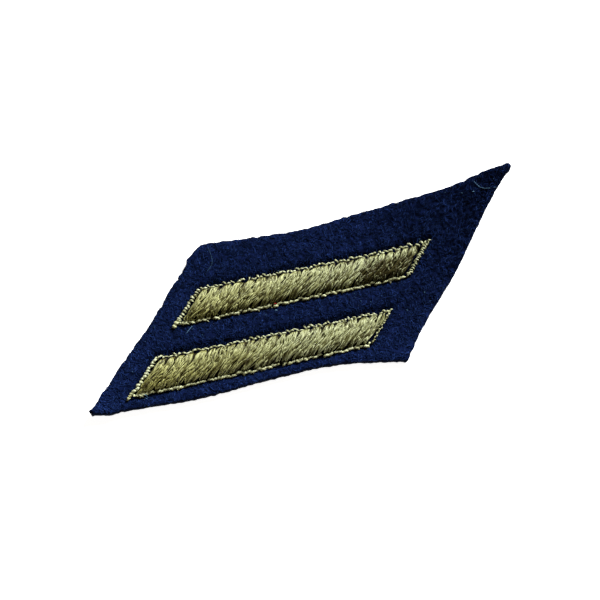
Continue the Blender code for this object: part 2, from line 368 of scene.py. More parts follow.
# %% Fibre tone group
def fibre_tone_group():
    """A colour from the tone, the gold and the shade that each vertex keeps."""
    inputs = {"Deep": (0, 0, 0, 1), "Pale": (1, 1, 1, 1), "Patch Scale": 500.0, "Patch Share": 0.5,
              "Shade Loss": 0.6, "Depth": 1.0, "Warmth": 0.0, "Golden Tint": (1, 1, 1, 1)}
    group, nodes = new_group("fibre_tone", inputs, "Color", "NodeSocketColor")
    for stored in ("tone", "gold", "shade"):
        nodes[stored] = add_node(group, "Attribute", attribute_name=stored)
    nodes.update(
        place=add_node(group, "TexCoord"),
        patches=add_node(group, "TexNoise", {"Detail": 4.0, "Roughness": 0.62}),
        spread=add_node(group, "MapRange", {"From Min": 0.36, "From Max": 0.64}),
        blend=add_node(group, "Mix", data_type="FLOAT"),
        colours=add_node(group, "Mix", data_type="RGBA"),
        richer=add_node(group, "Gamma"),
        coldest=add_node(group, "Math", {0: 1.0}, operation="SUBTRACT"),
        coldness=add_node(group, "MapRange", {"To Max": 1.0}),
        filtered=add_node(group, "CombineXYZ", {"X": 1.0, "Y": 1.0}),
        warmer=add_node(group, "VectorMath", operation="MULTIPLY"),
        tint=add_node(group, "Mix", {"A": (1, 1, 1, 1)}, data_type="RGBA"),
        golden=add_node(group, "VectorMath", operation="MULTIPLY"),
        loss=add_node(group, "Math", operation="MULTIPLY", use_clamp=True),
        keep=add_node(group, "Math", {0: 1.0}, operation="SUBTRACT"),
        darker=add_node(group, "VectorMath", operation="SCALE"),
    )
    wire(group, nodes, "place.Object > patches.Vector", "given.Patch Scale > patches.Scale",
         "patches.Fac > spread.Value", "given.Patch Share > blend.Factor", "tone.Fac > blend.A",
         "spread.Result > blend.B", "blend.Result > colours.Factor", "given.Deep > colours.A",
         "given.Pale > colours.B", "colours.Result > richer.Color", "given.Depth > richer.Gamma")
    wire(group, nodes, "given.Warmth > coldest.1", "coldest.Value > coldness.To Min",
         "blend.Result > coldness.Value", "coldness.Result > filtered.Z",
         "richer.Color > warmer.0", "filtered.Vector > warmer.1")
    wire(group, nodes, "gold.Fac > tint.Factor", "given.Golden Tint > tint.B",
         "warmer.Vector > golden.0", "tint.Result > golden.1")
    wire(group, nodes, "shade.Fac > loss.0", "given.Shade Loss > loss.1", "loss.Value > keep.1",
         "golden.Vector > darker.Vector", "keep.Value > darker.Scale", "darker.Vector > result.Color")
    return group


FIBRE_TONE = fibre_tone_group()
print("fibre tone:", len(FIBRE_TONE.nodes), "nodes")


# %% Relief groups
def relief_group(name, turns, detail):
    """The height of fine fibres that lie side by side along each of the turns."""
    inputs = {"Fibre Scale": 2500.0, "Stretch": 0.25}
    group, nodes = new_group(name, inputs, "Height", "NodeSocketFloat")
    nodes["place"] = add_node(group, "TexCoord")
    nodes["squeeze"] = add_node(group, "CombineXYZ", {"Y": 1.0, "Z": 1.0})
    wire(group, nodes, "given.Stretch > squeeze.X")
    highest = "fibres0.Fac"
    for k, turn in enumerate(turns):
        laid, pressed, fibres, higher = (f"{part}{k}" for part in ("laid", "pressed", "fibres", "higher"))
        nodes[laid] = add_node(group, "Mapping", {"Rotation": (0, 0, turn)}, vector_type="POINT")
        nodes[pressed] = add_node(group, "VectorMath", operation="MULTIPLY")
        nodes[fibres] = add_node(group, "TexNoise", {"Detail": detail, "Roughness": 0.5})
        wire(group, nodes, f"place.Object > {laid}.Vector", f"{laid}.Vector > {pressed}.0",
             f"squeeze.Vector > {pressed}.1", f"{pressed}.Vector > {fibres}.Vector",
             f"given.Fibre Scale > {fibres}.Scale")
        if k:
            nodes[higher] = add_node(group, "Math", operation="MAXIMUM")
            wire(group, nodes, f"{highest} > {higher}.0", f"{fibres}.Fac > {higher}.1")
            highest = f"{higher}.Value"
    wire(group, nodes, f"{highest} > result.Height")
    return group


CROSSED_RELIEF = relief_group("fibre_relief", (0.4, 1.5, 2.6), detail=2.0)
STRAND_RELIEF = relief_group("strand_relief", (-0.8,), detail=1.0)


# %% One function makes every fibre material
BUMP_STRENGTH = 0.9


def fibre_material(name, tone_values, shader_values, relief, depth):
    """A Principled material whose colour and bump come from the fibre groups."""
    made = bpy.data.materials.new(name)
    made.use_nodes = True
    tree = made.node_tree
    nodes = {
        "shader": tree.nodes["Principled BSDF"],
        "tone": add_node(tree, "Group", node_tree=FIBRE_TONE),
        "height": add_node(tree, "Group", node_tree=relief[0]),
        "bump": add_node(tree, "Bump", {"Strength": BUMP_STRENGTH, "Distance": depth}),
    }
    for node, values in (("shader", shader_values), ("tone", tone_values), ("height", relief[1])):
        for socket, value in values.items():
            nodes[node].inputs[socket].default_value = value
    wire(tree, nodes, "tone.Color > shader.Base Color", "height.Height > bump.Height",
         "bump.Normal > shader.Normal")
    return made


# %% Felt, floss, padding and lint
FELT_SHADING = {"Roughness": 0.95, "Specular IOR Level": 0.03, "Sheen Weight": 0.06,
                "Sheen Roughness": 0.4, "Sheen Tint": (0.2, 0.4, 1.0, 1)}
PAD_SHADING = {"Roughness": 0.95, "Specular IOR Level": 0.1}
FLOSS_SHADING = {"Roughness": 0.45, "IOR": 1.5, "Specular IOR Level": 0.55,
                 "Specular Tint": (0.97, 1.0, 0.92, 1)}
LINT_SHADING = {"Roughness": 0.7, "Specular IOR Level": 0.1}
FELT_RELIEF = (CROSSED_RELIEF, {"Fibre Scale": 2600.0, "Stretch": 0.3})
FLOSS_RELIEF = (STRAND_RELIEF, {"Fibre Scale": 9000.0, "Stretch": 0.15})
FELT_BUMP = 0.06 * MM
FLOSS_BUMP = 0.012 * MM

felt_cloth = fibre_material(
    "navy_felt",
    {"Deep": (0.0003, 0.0007, 0.004, 1), "Pale": (0.0062, 0.0145, 0.070, 1),
     "Patch Scale": 1500.0, "Patch Share": 0.45, "Shade Loss": 0.76},
    FELT_SHADING, FELT_RELIEF, FELT_BUMP)
felt_fibre = fibre_material(
    "navy_wool_fibre",
    {"Deep": (0.0006, 0.0014, 0.007, 1), "Pale": (0.029, 0.069, 0.275, 1),
     "Patch Scale": 900.0, "Patch Share": 0.1, "Shade Loss": 0.68},
    FELT_SHADING, FELT_RELIEF, FLOSS_BUMP)
floss = fibre_material(
    "olive_floss",
    {"Deep": (0.070, 0.052, 0.006, 1), "Pale": (0.607, 0.63, 0.378, 1),
     "Patch Scale": 160.0, "Patch Share": 0.12, "Depth": 1.2, "Warmth": 0.4,
     "Golden Tint": (0.96, 0.86, 0.40, 1)},
    FLOSS_SHADING, FLOSS_RELIEF, FLOSS_BUMP)
outline_floss = fibre_material(
    "olive_outline_floss",
    {"Deep": (0.10, 0.085, 0.020, 1), "Pale": (0.72, 0.745, 0.47, 1),
     "Patch Scale": 160.0, "Patch Share": 0.12, "Warmth": 0.3, "Golden Tint": (1.0, 0.93, 0.60, 1)},
    FLOSS_SHADING, FLOSS_RELIEF, FLOSS_BUMP)
# the padding is near black, as painted shade between the strands
pad_painted_shade = fibre_material(
    "padding_painted_shade",
    {"Deep": (0.006, 0.005, 0.002, 1), "Pale": (0.028, 0.023, 0.008, 1),
     "Patch Scale": 900.0, "Patch Share": 1.0},
    PAD_SHADING, FELT_RELIEF, FELT_BUMP)
pale_lint = fibre_material(
    "pale_lint",
    {"Deep": (0.01, 0.04, 0.10, 1), "Pale": (0.24, 0.46, 0.66, 1),
     "Patch Scale": 400.0, "Patch Share": 0.1},
    LINT_SHADING, FLOSS_RELIEF, FLOSS_BUMP)
red_lint = fibre_material(
    "red_lint",
    {"Deep": (0.30, 0.01, 0.015, 1), "Pale": (0.75, 0.04, 0.05, 1),
     "Patch Scale": 400.0, "Patch Share": 0.1},
    LINT_SHADING, FLOSS_RELIEF, FLOSS_BUMP)

# %% [markdown]
# ## The felt sheet
# The ground is thick wool felt with a cut, slightly scalloped edge, drawn down round the bars
# by the stitching. A grid primitive is laid out between the four cut edges of the outline, each
# inner point blended from the edges, so its rows follow the cuts. Solidify gives the thickness,
# and the rim is subdivided so that it can be rounded and roughened.

# %% Four cut edges from the outline
SHEET_COLUMNS = 240
SHEET_ROWS = 160


def walked_along(points):
    """How far each point of a line is from its first point, along the line."""
    return np.concatenate([[0], np.cumsum(np.linalg.norm(np.diff(points, axis=0), axis=1))])


def resampled(points, steps):
    """The same line as evenly spaced points."""
    along = walked_along(points)
    wanted = np.linspace(0, along[-1], steps + 1)
    return np.stack([np.interp(wanted, along, points[:, k]) for k in (0, 1)], axis=-1)


def cut_edges():
    """The lower, right, upper and left cut edges, all running rightwards or upwards."""
    x, y = outline.T
    toe, heel = np.argmin(x), np.argmax(x - SLANT_LEAN * y)
    tip, shoulder = np.argmax(x), np.argmax(SLANT_LEAN * y - x)

    def stretch(start, end):
        """The outline's points from one corner to the next."""
        span = (end - start) % len(outline)
        return outline[(start + np.arange(span + 1)) % len(outline)]

    lower = resampled(stretch(toe, heel), SHEET_COLUMNS)
    right = resampled(stretch(heel, tip), SHEET_ROWS)
    upper = resampled(stretch(tip, shoulder), SHEET_COLUMNS)[::-1]
    left = resampled(stretch(shoulder, toe), SHEET_ROWS)[::-1]
    return lower, right, upper, left


def blended_places(across, along):
    """Plan places for shares across and along the sheet, blended from its four edges."""
    lower, right, upper, left = cut_edges()
    column = np.rint(across * SHEET_COLUMNS).astype(int)
    row = np.rint(along * SHEET_ROWS).astype(int)
    s, t = across[:, None], along[:, None]
    sides = (1 - t) * lower[column] + t * upper[column] + (1 - s) * left[row] + s * right[row]
    ends = (1 - s) * (1 - t) * lower[0] + s * (1 - t) * lower[-1]
    ends += (1 - s) * t * upper[0] + s * t * upper[-1]
    return sides - ends


# %% Lay out the grid and give it its thickness
RIM_CUTS = 5

bpy.ops.mesh.primitive_grid_add(x_subdivisions=SHEET_COLUMNS, y_subdivisions=SHEET_ROWS, size=1)
felt = bpy.context.object
felt.name = "felt_sheet"
grid = np.array([v.co[:2] for v in felt.data.vertices]) + 0.5
plan = blended_places(grid[:, 0], grid[:, 1])
flat_sheet = np.column_stack([plan, np.full(len(plan), FELT_THICKNESS)])
felt.data.vertices.foreach_set("co", flat_sheet.ravel())
wall = felt.modifiers.new("thickness", "SOLIDIFY")
wall.thickness = FELT_THICKNESS
wall.offset = -1
bpy.ops.object.modifier_apply(modifier="thickness")

bpy.ops.object.mode_set(mode="EDIT")
bpy.ops.mesh.select_mode(type="EDGE")
bpy.ops.mesh.select_all(action="DESELECT")
sheet_mesh = bmesh.from_edit_mesh(felt.data)
for edge in sheet_mesh.edges:
    low, high = sorted(vertex.co.z for vertex in edge.verts)
    edge.select = high - low > FELT_THICKNESS / 2
bmesh.update_edit_mesh(felt.data)
bpy.ops.mesh.subdivide(number_cuts=RIM_CUTS)
bpy.ops.mesh.select_all(action="SELECT")
bpy.ops.mesh.normals_make_consistent(inside=False)
bpy.ops.object.mode_set(mode="OBJECT")
print("felt sheet:", len(felt.data.polygons), "faces")

# %% [markdown]
# ### Press, roughen and curl the sheet
# The top is pressed down round the bars and under them, and slow and quick lumps give fulled
# wool its uneven surface. The snips of the scissors show as scallops along the cut edge, whose
# rim is rounded. The cut walls are painted darker than the top, as painted shade. The top is
# painted lighter along its near edge and at the toe and darker at the curled tip, as painted
# light and shade. Last, everything is lifted on the curl of the underside.

# %% How near the stitching is, and where light and shade are painted on the felt
PRESS_FALL = 1.4
# painted shade beside the stitching: how far it reaches and how far it is shifted to the far side
SHADE_REACH = 0.28 * MM
SHADE_SHIFT = np.array([0.14, 0.30]) * MM
# painted light along the near edge and at the toe, and painted shade at the curled tip
PAINTED_LIGHT_REACH = 3.0 * MM
TOE_SPREAD = 6.0 * MM
TIP_SPREAD = 9.0 * MM
TIP_PAINTED_SHADE = 0.7


def press_share(points, reach, shift):
    """How near the stitching is, from 1 under it to 0 far from it, a little more on its far side."""
    nearness = np.zeros(len(points))
    for bar in BAR_NAMES:
        outside = np.maximum(distance_outside(points[:, :2] - shift, bar_quads[bar]), 0)
        nearness = np.maximum(nearness, np.exp(-((outside / reach) ** PRESS_FALL)))
    return nearness


def stitch_shade(points):
    """How much painted shade darkens the felt beside the stitching, most on its far side."""
    return press_share(points, SHADE_REACH, SHADE_SHIFT)


near_edge = cut_edges()[0].T


def painted_light_and_shade(points):
    """Painted light and shade on the felt: lighter along its near cut edge and at the toe, darker at the
    curled tip.
    """
    x, y = points[:, 0], points[:, 1]
    from_edge = np.maximum(y - np.interp(x, *near_edge), 0)
    from_toe = np.maximum(x - outline[:, 0].min(), 0)
    from_tip = np.maximum(outline[:, 0].max() - x, 0)
    painted_lighter = np.maximum(np.exp(-from_edge / PAINTED_LIGHT_REACH), np.exp(-from_toe / TOE_SPREAD))
    return painted_lighter - TIP_PAINTED_SHADE * np.exp(-from_tip / TIP_SPREAD)


# %% The felt's top
PRESS_DEPTH = 0.30 * MM
PRESS_REACH = 0.42 * MM
PRESS_SHIFT = np.array([0.0, 0.26]) * MM
RIM_ROUNDING = 0.16 * MM
RIM_SOFTNESS = 0.30 * MM
RIM_SAG = 0.6
LUMP_DEPTH = 0.060 * MM
GRAIN_DEPTH = 0.055 * MM
# each kind of lump is given by its length and its seed
LUMPS = (0.62 * MM, 11)
GRAIN = (0.30 * MM, 12)


def top_relief(points, to_edge):
    """How far the felt's top stands above or below its nominal height."""
    flat = points[:, :2]
    relief = LUMP_DEPTH * lumps(flat, *LUMPS) + GRAIN_DEPTH * lumps(flat, *GRAIN)
    relief -= PRESS_DEPTH * press_share(points, PRESS_REACH, PRESS_SHIFT)
    return relief - RIM_ROUNDING * RIM_SAG * np.exp(-((to_edge / RIM_SOFTNESS) ** 2))


def felt_top(points, to_edge):
    """The height of the felt's top, on the curl of the underside."""
    return FELT_THICKNESS + top_relief(points, to_edge) + heights(points)


# %% Shape the sheet
RIM_GROWTH = 0.12 * MM
RIM_DEPTH = 0.02 * MM
BASE_ROUNDING = 0.05 * MM
ROUNDING_CURVE = 4
SCALLOP_DEPTH = 0.13 * MM
SCALLOP_REACH = 0.45 * MM
NEAR_SCALLOPS = 0.5
SCALLOPS = (0.60 * MM, 21)
FRAY_DEPTH = 0.07 * MM
FRAY = (0.28 * MM, 22)
CLOTH_TONE = 0.5
GRAIN_TONE = 0.35
LUMP_TONE = 0.25
PAINTED_LIGHT_TONE = 0.36
# painted shade on the cut walls: their shade and how much darker their tone is
WALL_SHADE = 1.0
WALL_TONE = 0.2
TOE_PULL = np.array([-0.30, 0.0]) * MM
TOE_REACH = 0.55 * MM
TOE_PUSH = np.array([-0.26, -0.04]) * MM
TOE_RADIUS = 0.36 * MM
TIP_PUSH = np.array([-0.20, 0.02]) * MM
TIP_RADIUS = 0.52 * MM
LEAST_GAP = 0.01 * MM
# small nicks: a place and a pull in mm, and how far the pull reaches
SNIPS = (
    ((14.63, -9.81), (0.24, -0.12), 0.45),
    ((-10.83, 11.14), (-0.46, 0.10), 0.62),
    ((-12.78, 8.97), (-0.18, 0.04), 0.34),
    ((-13.74, 7.97), (-0.16, 0.04), 0.30),
    ((-14.71, 6.83), (-0.14, 0.03), 0.30),
)


def store(mesh, name, values):
    """Keep one number for each vertex, for the materials."""
    kept = mesh.attributes.new(name, "FLOAT", "POINT")
    kept.data.foreach_set("value", np.asarray(values, np.float32))


def pulled_corner(points, corner, pull, reach):
    """Draw the sheet out a little at one corner."""
    gap = np.linalg.norm(points[:, :2] - corner, axis=1)
    points[:, :2] += pull * np.exp(-((gap / reach) ** 2))[:, None]


def rounded_corner(points, on_rim, corner, push, radius):
    """Push the rim out to a disc at one corner, so that the corner ends in a blunt nub."""
    away = points[:, :2] - (corner + push)
    gap = np.maximum(np.linalg.norm(away, axis=1), LEAST_GAP)
    grow = np.where(on_rim & (gap < radius), radius / gap, 1.0)
    points[:, :2] += away * (grow - 1)[:, None]


def shape_sheet():
    """Give the sheet its tones and shade, and move its vertices to their places."""
    points = np.array([v.co for v in felt.data.vertices])
    to_edge, outwards = nearest_on_outline(points)
    level = points[:, 2] / FELT_THICKNESS
    on_top = level > 1 - 0.5 / (RIM_CUTS + 1)
    on_rim = to_edge < RIM_DEPTH
    on_wall = on_rim & ~on_top
    # painted shade: darker beside the stitching and on the cut walls, none on the back
    store(felt.data, "shade", np.where(on_top, stitch_shade(points), np.where(on_wall, WALL_SHADE, 0)))
    tone = CLOTH_TONE + GRAIN_TONE * lumps(points, *GRAIN) + LUMP_TONE * lumps(points, *LUMPS)
    tone = np.where(on_wall, WALL_TONE * tone, tone)
    # painted light and shade on the top: lighter along the near edge and at the toe, darker at the tip
    store(felt.data, "tone", tone + PAINTED_LIGHT_TONE * painted_light_and_shade(points) * on_top)
    scallop = SCALLOP_DEPTH * lumps(points[:, :2], *SCALLOPS)
    scallop *= np.where(outwards[:, 1] < -0.5, NEAR_SCALLOPS, 1.0)
    shift = scallop * np.exp(-((to_edge / SCALLOP_REACH) ** 2))
    rounding = np.where(level > 0.5, RIM_ROUNDING, BASE_ROUNDING)
    rounding = rounding * np.abs(2 * level - 1) ** ROUNDING_CURVE
    bulge = RIM_GROWTH - rounding + FRAY_DEPTH * lumps(points, *FRAY)
    relief = top_relief(points, to_edge)
    points[:, :2] += outwards * (shift + np.where(on_rim, bulge, 0))[:, None]
    toe = outline[np.argmin(outline[:, 0])]
    tip = outline[np.argmax(outline[:, 0])]
    pulled_corner(points, toe, TOE_PULL, TOE_REACH)
    rounded_corner(points, on_rim, toe, TOE_PUSH, TOE_RADIUS)
    for place, pull, reach in SNIPS:
        pulled_corner(points, np.array(place) * MM, np.array(pull) * MM, reach * MM)
    rounded_corner(points, on_rim, tip, TIP_PUSH, TIP_RADIUS)
    points[:, 2] += np.where(on_top, relief, 0) + heights(points)
    felt.data.vertices.foreach_set("co", points.ravel())
    felt.data.update()


shape_sheet()
bpy.ops.object.shade_smooth()
felt.data.materials.append(felt_cloth)
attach(felt, "root")
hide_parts("felt_ground")

# %% [markdown]
# ## Threads, floss and fibres
# A filament is a thin rod. It is modelled once, from a cylinder primitive whose long edges are
# subdivided, and copied along thousands of paths into joined meshes. Each copy bends with its
# path, thins towards its ends and keeps tones of its own for the material.


# %% One filament, and copies of it along paths
def filament_template(sides, rings):
    """A closed rod: its corner directions, the ring that each vertex is in, and its faces."""
    bpy.ops.object.select_all(action="DESELECT")
    bpy.ops.mesh.primitive_cylinder_add(vertices=sides, radius=1, depth=1)
    rod = bpy.context.object
    bpy.ops.object.mode_set(mode="EDIT")
    bpy.ops.mesh.select_mode(type="EDGE")
    bpy.ops.mesh.select_all(action="DESELECT")
    rod_mesh = bmesh.from_edit_mesh(rod.data)
    for edge in rod_mesh.edges:
        edge.select = abs(edge.verts[0].co.z - edge.verts[1].co.z) > 0.5
    bmesh.update_edit_mesh(rod.data)
    bpy.ops.mesh.subdivide(number_cuts=rings - 2)
    bpy.ops.object.mode_set(mode="OBJECT")
    corners = np.array([v.co for v in rod.data.vertices])
    faces = [list(polygon.vertices) for polygon in rod.data.polygons]
    bpy.data.objects.remove(rod)
    ring = np.rint((corners[:, 2] + 0.5) * (rings - 1)).astype(int)
    return corners[:, :2], ring, faces


def pinched(arch, least):
    """How thick a filament is along it: the least share at its ends, and all of it at its middle."""
    return least + (1 - least) * np.sqrt(arch)


def copies_along(name, paths, radii, tones, material, sides=3, **shares):
    """Join copies of a filament, one for each path, into one mesh object."""
    count, rings, _ = paths.shape
    corners, ring, faces = filament_template(sides, rings)
    ahead = np.gradient(paths, axis=1)
    ahead /= np.linalg.norm(ahead, axis=2, keepdims=True)
    over = np.cross(paths[:, -1] - paths[:, 0], (0.0, 0.0, 1.0))[:, None, :]
    side = over - np.sum(over * ahead, axis=2, keepdims=True) * ahead
    side /= np.linalg.norm(side, axis=2, keepdims=True)
    rise = np.cross(side, ahead)
    places = paths[:, ring] + radii[:, ring, None] * (
        corners[None, :, :1] * side[:, ring] + corners[None, :, 1:] * rise[:, ring])
    each = len(corners)
    starts = each * np.arange(count)
    all_faces = []
    for face in faces:
        all_faces += (starts[:, None] + np.array(face)[None, ::-1]).tolist()
    joined = bpy.data.meshes.new(name)
    joined.from_pydata(places.reshape(-1, 3), [], all_faces)
    store(joined, "tone", np.clip(tones[:, ring], 0, 1).ravel())
    for share, values in shares.items():
        store(joined, share, np.repeat(values, each))
    joined.shade_smooth()
    joined.materials.append(material)
    made = bpy.data.objects.new(name, joined)
    bpy.context.scene.collection.objects.link(made)
    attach(made, "root")
    joined.calc_loop_triangles()
    print(f"{name}: {count} filaments, {len(joined.loop_triangles)} triangles")
    return made


# %% [markdown]
# ## The bars
# A bar is a pad covered by strands of floss, each laid across it from a needle hole at one long
# side to a hole at the other. The strands cross the pad at a slant and straighten up past its
# crest. Where a strand would cross an end of the bar, it stops there. Two or three strands at a
# time are drawn together at their holes, so dark gaps open between the bunches near the long
# sides. Each strand is a few twisted plies: pinched at its holes and spread out over the pad,
# never quite even.

# %% How the strands run across a bar
rng = np.random.default_rng(7)
HOLE_PITCH = 0.55 * MM
HOLE_JITTER = 0.05 * MM
HOLES_BEFORE = 3 * MM
HOLES_AFTER = 2 * MM
END_JITTER = np.array([-0.25, 0.15]) * MM
SATIN_INSETS = {"upper": (0.27, 0.66, 0.34, 0.54), "lower": (0.29, 0.44, 0.38, 0.54)}
# the next three are a mean and a spread
LOW_LEAN = np.array([1.6, 0.20]) * MM
HIGH_LEAN = np.array([-1.2, 0.22]) * MM
TURN_PLACE = (0.40, 0.05)
TURN_SPAN = 0.40
BUNCH_SIZES = (2, 3)
BUNCH_SHARE = 0.56
NEAR_BUNCH = 0.7
NEAR_EASE = (0.32, 0.0)
FAR_EASE = (0.62, 1.0)
EASE_CURVE = 1.3
SHORTEST_RUN = 25
ACROSS = np.linspace(0, 1, 101)
satin_quads = {bar: moved_sides(bar_quads[bar], [inset * MM for inset in SATIN_INSETS[bar]])
               for bar in BAR_NAMES}


def shared_holes(count):
    """How far each strand's end is drawn towards the middle of its bunch of two or three."""
    pulls = np.zeros(count)
    first = 0
    while first < count:
        last = min(first + rng.integers(*BUNCH_SIZES, endpoint=True), count)
        pulls[first:last] = ((first + last - 1) / 2 - np.arange(first, last)) * HOLE_PITCH
        first = last
    return BUNCH_SHARE * pulls


def drift(turn_place, low_lean, high_lean):
    """How far along the bar a strand has gone, at each share across it."""
    eased = np.clip((ACROSS - turn_place) / TURN_SPAN, 0, 1)
    leans = low_lean + (high_lean - low_lean) * eased * eased * (3 - 2 * eased)
    return np.concatenate([[0], np.cumsum((leans[1:] + leans[:-1]) / 2 * np.diff(ACROSS))])


def strand_courses(bar):
    """Each strand's way along the bar at even shares across, and where it starts and stops."""
    length = np.linalg.norm(satin_quads[bar][1] - satin_quads[bar][0])
    nominal = drift(TURN_PLACE[0], LOW_LEAN[0], HIGH_LEAN[0])[-1]
    near_ease, far_ease = (ramp(ACROSS, *ease) ** EASE_CURVE for ease in (NEAR_EASE, FAR_EASE))
    starts = np.arange(-HOLES_BEFORE, length + HOLES_AFTER, HOLE_PITCH)
    courses = []
    for start, near_pull, far_pull in zip(starts, shared_holes(len(starts)), shared_holes(len(starts))):
        own = drift(rng.normal(*TURN_PLACE), rng.normal(*LOW_LEAN), rng.normal(*HIGH_LEAN))
        along = start + rng.normal(0, HOLE_JITTER) + own + (nominal - own[-1]) * ACROSS
        along += NEAR_BUNCH * near_pull * near_ease + far_pull * far_ease
        held = np.nonzero((along >= 0) & (along <= length + rng.uniform(*END_JITTER)))[0]
        if len(held) >= SHORTEST_RUN:
            courses.append((along, held[0], held[-1]))
    return courses


strands = {bar: strand_courses(bar) for bar in BAR_NAMES}
print("strands on each bar:", [len(strands[bar]) for bar in BAR_NAMES])

# %% How high the pad is, and where the floss is golden, darker, worn or painted with shade
# a change along or across a bar is given by its start and end, as shares, and its amount
FLOSS_DEPTH = 0.16 * MM
PAD_SHOULDER = 2.4
PAD_END = 0.9 * MM
GOLD_AT_LEFT = {"upper": 0.52, "lower": 0.62}
GOLD_EVERYWHERE = {"upper": 0.02, "lower": 0.08}
GOLD_REACH = 0.62
GOLD_FALL = 0.7
WORN_AND_SHADED_PART = {"upper": (0.74, 0.80), "lower": (2.0, 2.1)}  # a bar ends at 1, so the lower has none
WORN_AND_SHADED_SIDE = (0.74, 0.54)
LEFT_LOSS = (0.30, 0.0, 0.26)
# painted shade along the near side, and on the worn part of the upper bar
NEAR_PAINTED_SHADE = (0.40, 0.0, 0.14)
WORN_PAINTED_SHADE = 0.95


def place_in(quad, along, across):
    """Places at shares along and across a slanted four-sided shape."""
    low = quad[0] + (quad[1] - quad[0]) * along[..., None]
    high = quad[3] + (quad[2] - quad[3]) * along[..., None]
    return low + (high - low) * across[..., None]


def pad_height(places, quad, across):
    """The padding's height over the felt, full along the middle and low at the ends."""
    rounded = np.sqrt(np.clip(1 - np.abs(2 * across - 1) ** PAD_SHOULDER, 0, 1))
    from_end = ramp(-distance_outside(places, quad), 0, PAD_END)
    return (BAR_RISE - FLOSS_DEPTH) * rounded * np.sqrt(1 - (1 - from_end) ** 2)


def worn_and_shaded_share(bar, along, across):
    """How worn the floss is, and how much painted shade it gets there: only the near right of the upper
    bar.
    """
    return ramp(along, *WORN_AND_SHADED_PART[bar]) * ramp(across, *WORN_AND_SHADED_SIDE)


def darkening_and_painted_shade(bar, along, across):
    """How much darker the floss is: at the left ends, and by painted shade on the near side and the worn
    part.
    """
    loss = ramp(along, *LEFT_LOSS) + ramp(across, *NEAR_PAINTED_SHADE)
    return loss + WORN_PAINTED_SHADE * worn_and_shaded_share(bar, along, across)


def golden_share(bar, along):
    """How golden the floss is: most at the left ends, and a little more on the lower bar."""
    return GOLD_AT_LEFT[bar] * ramp(along, GOLD_REACH, 0) ** GOLD_FALL + GOLD_EVERYWHERE[bar]


# %% Satin stitches
HOLE_DEPTH = 0.12 * MM
HOLE_HALF_WIDTH = 0.030 * MM
# painted shade where the strands dive into their holes
HOLE_PAINTED_SHADE = -0.35
NEAR_FAN = 1.5 * MM
FAR_FAN = 1.20 * MM
FAN_CURVE = 0.9
STRAND_HALF_WIDTH = 0.125 * MM
WIDTH_RANGE = (0.70, 1.20)
NEAR_WIDENING = 1.15
FAR_NARROWING = 0.25
WORN_THINNING = 0.55
STRAND_CROWN = 0.085 * MM
STRAND_LIFT = 0.05 * MM
WAVE_LENGTH = 2.4 * MM
WAVE_PHASES = (0, 6.3)
# painted light on strands that lie higher
LIFT_PAINTED_LIGHT = 1.6
TWIST_LENGTH = 3.0 * MM
TWIST_RANGE = (0.8, 1.3)
STRAND_TONES = (-0.08, 0.10)
# painted light and shade across the bar: lighter on the far slope, darker towards the near side and close
# to the far holes
STRAND_PAINTED_LIGHT_STEPS = ((0.35, 0.60, 0.30), (0.34, 0.0, -0.30), (0.80, 0.90, -0.25))
PLY_COUNT = 7
PLY_RADIUS = 0.060 * MM
PLY_RANGE = (0.70, 1.15)
PLY_RINGS = 19
PLY_END = 0.6
PLY_TURN_JITTER = 0.3
PLY_TONE_SPREAD = 0.22
# painted highlight on the upper plies
PLY_PAINTED_HIGHLIGHT = 0.26
RING_TONE_SPREAD = 0.16
EVEN_SHARE = 0.45
SLOW_LUMPS = (1.7 * MM, 41)
SLOW_TONE = 0.14


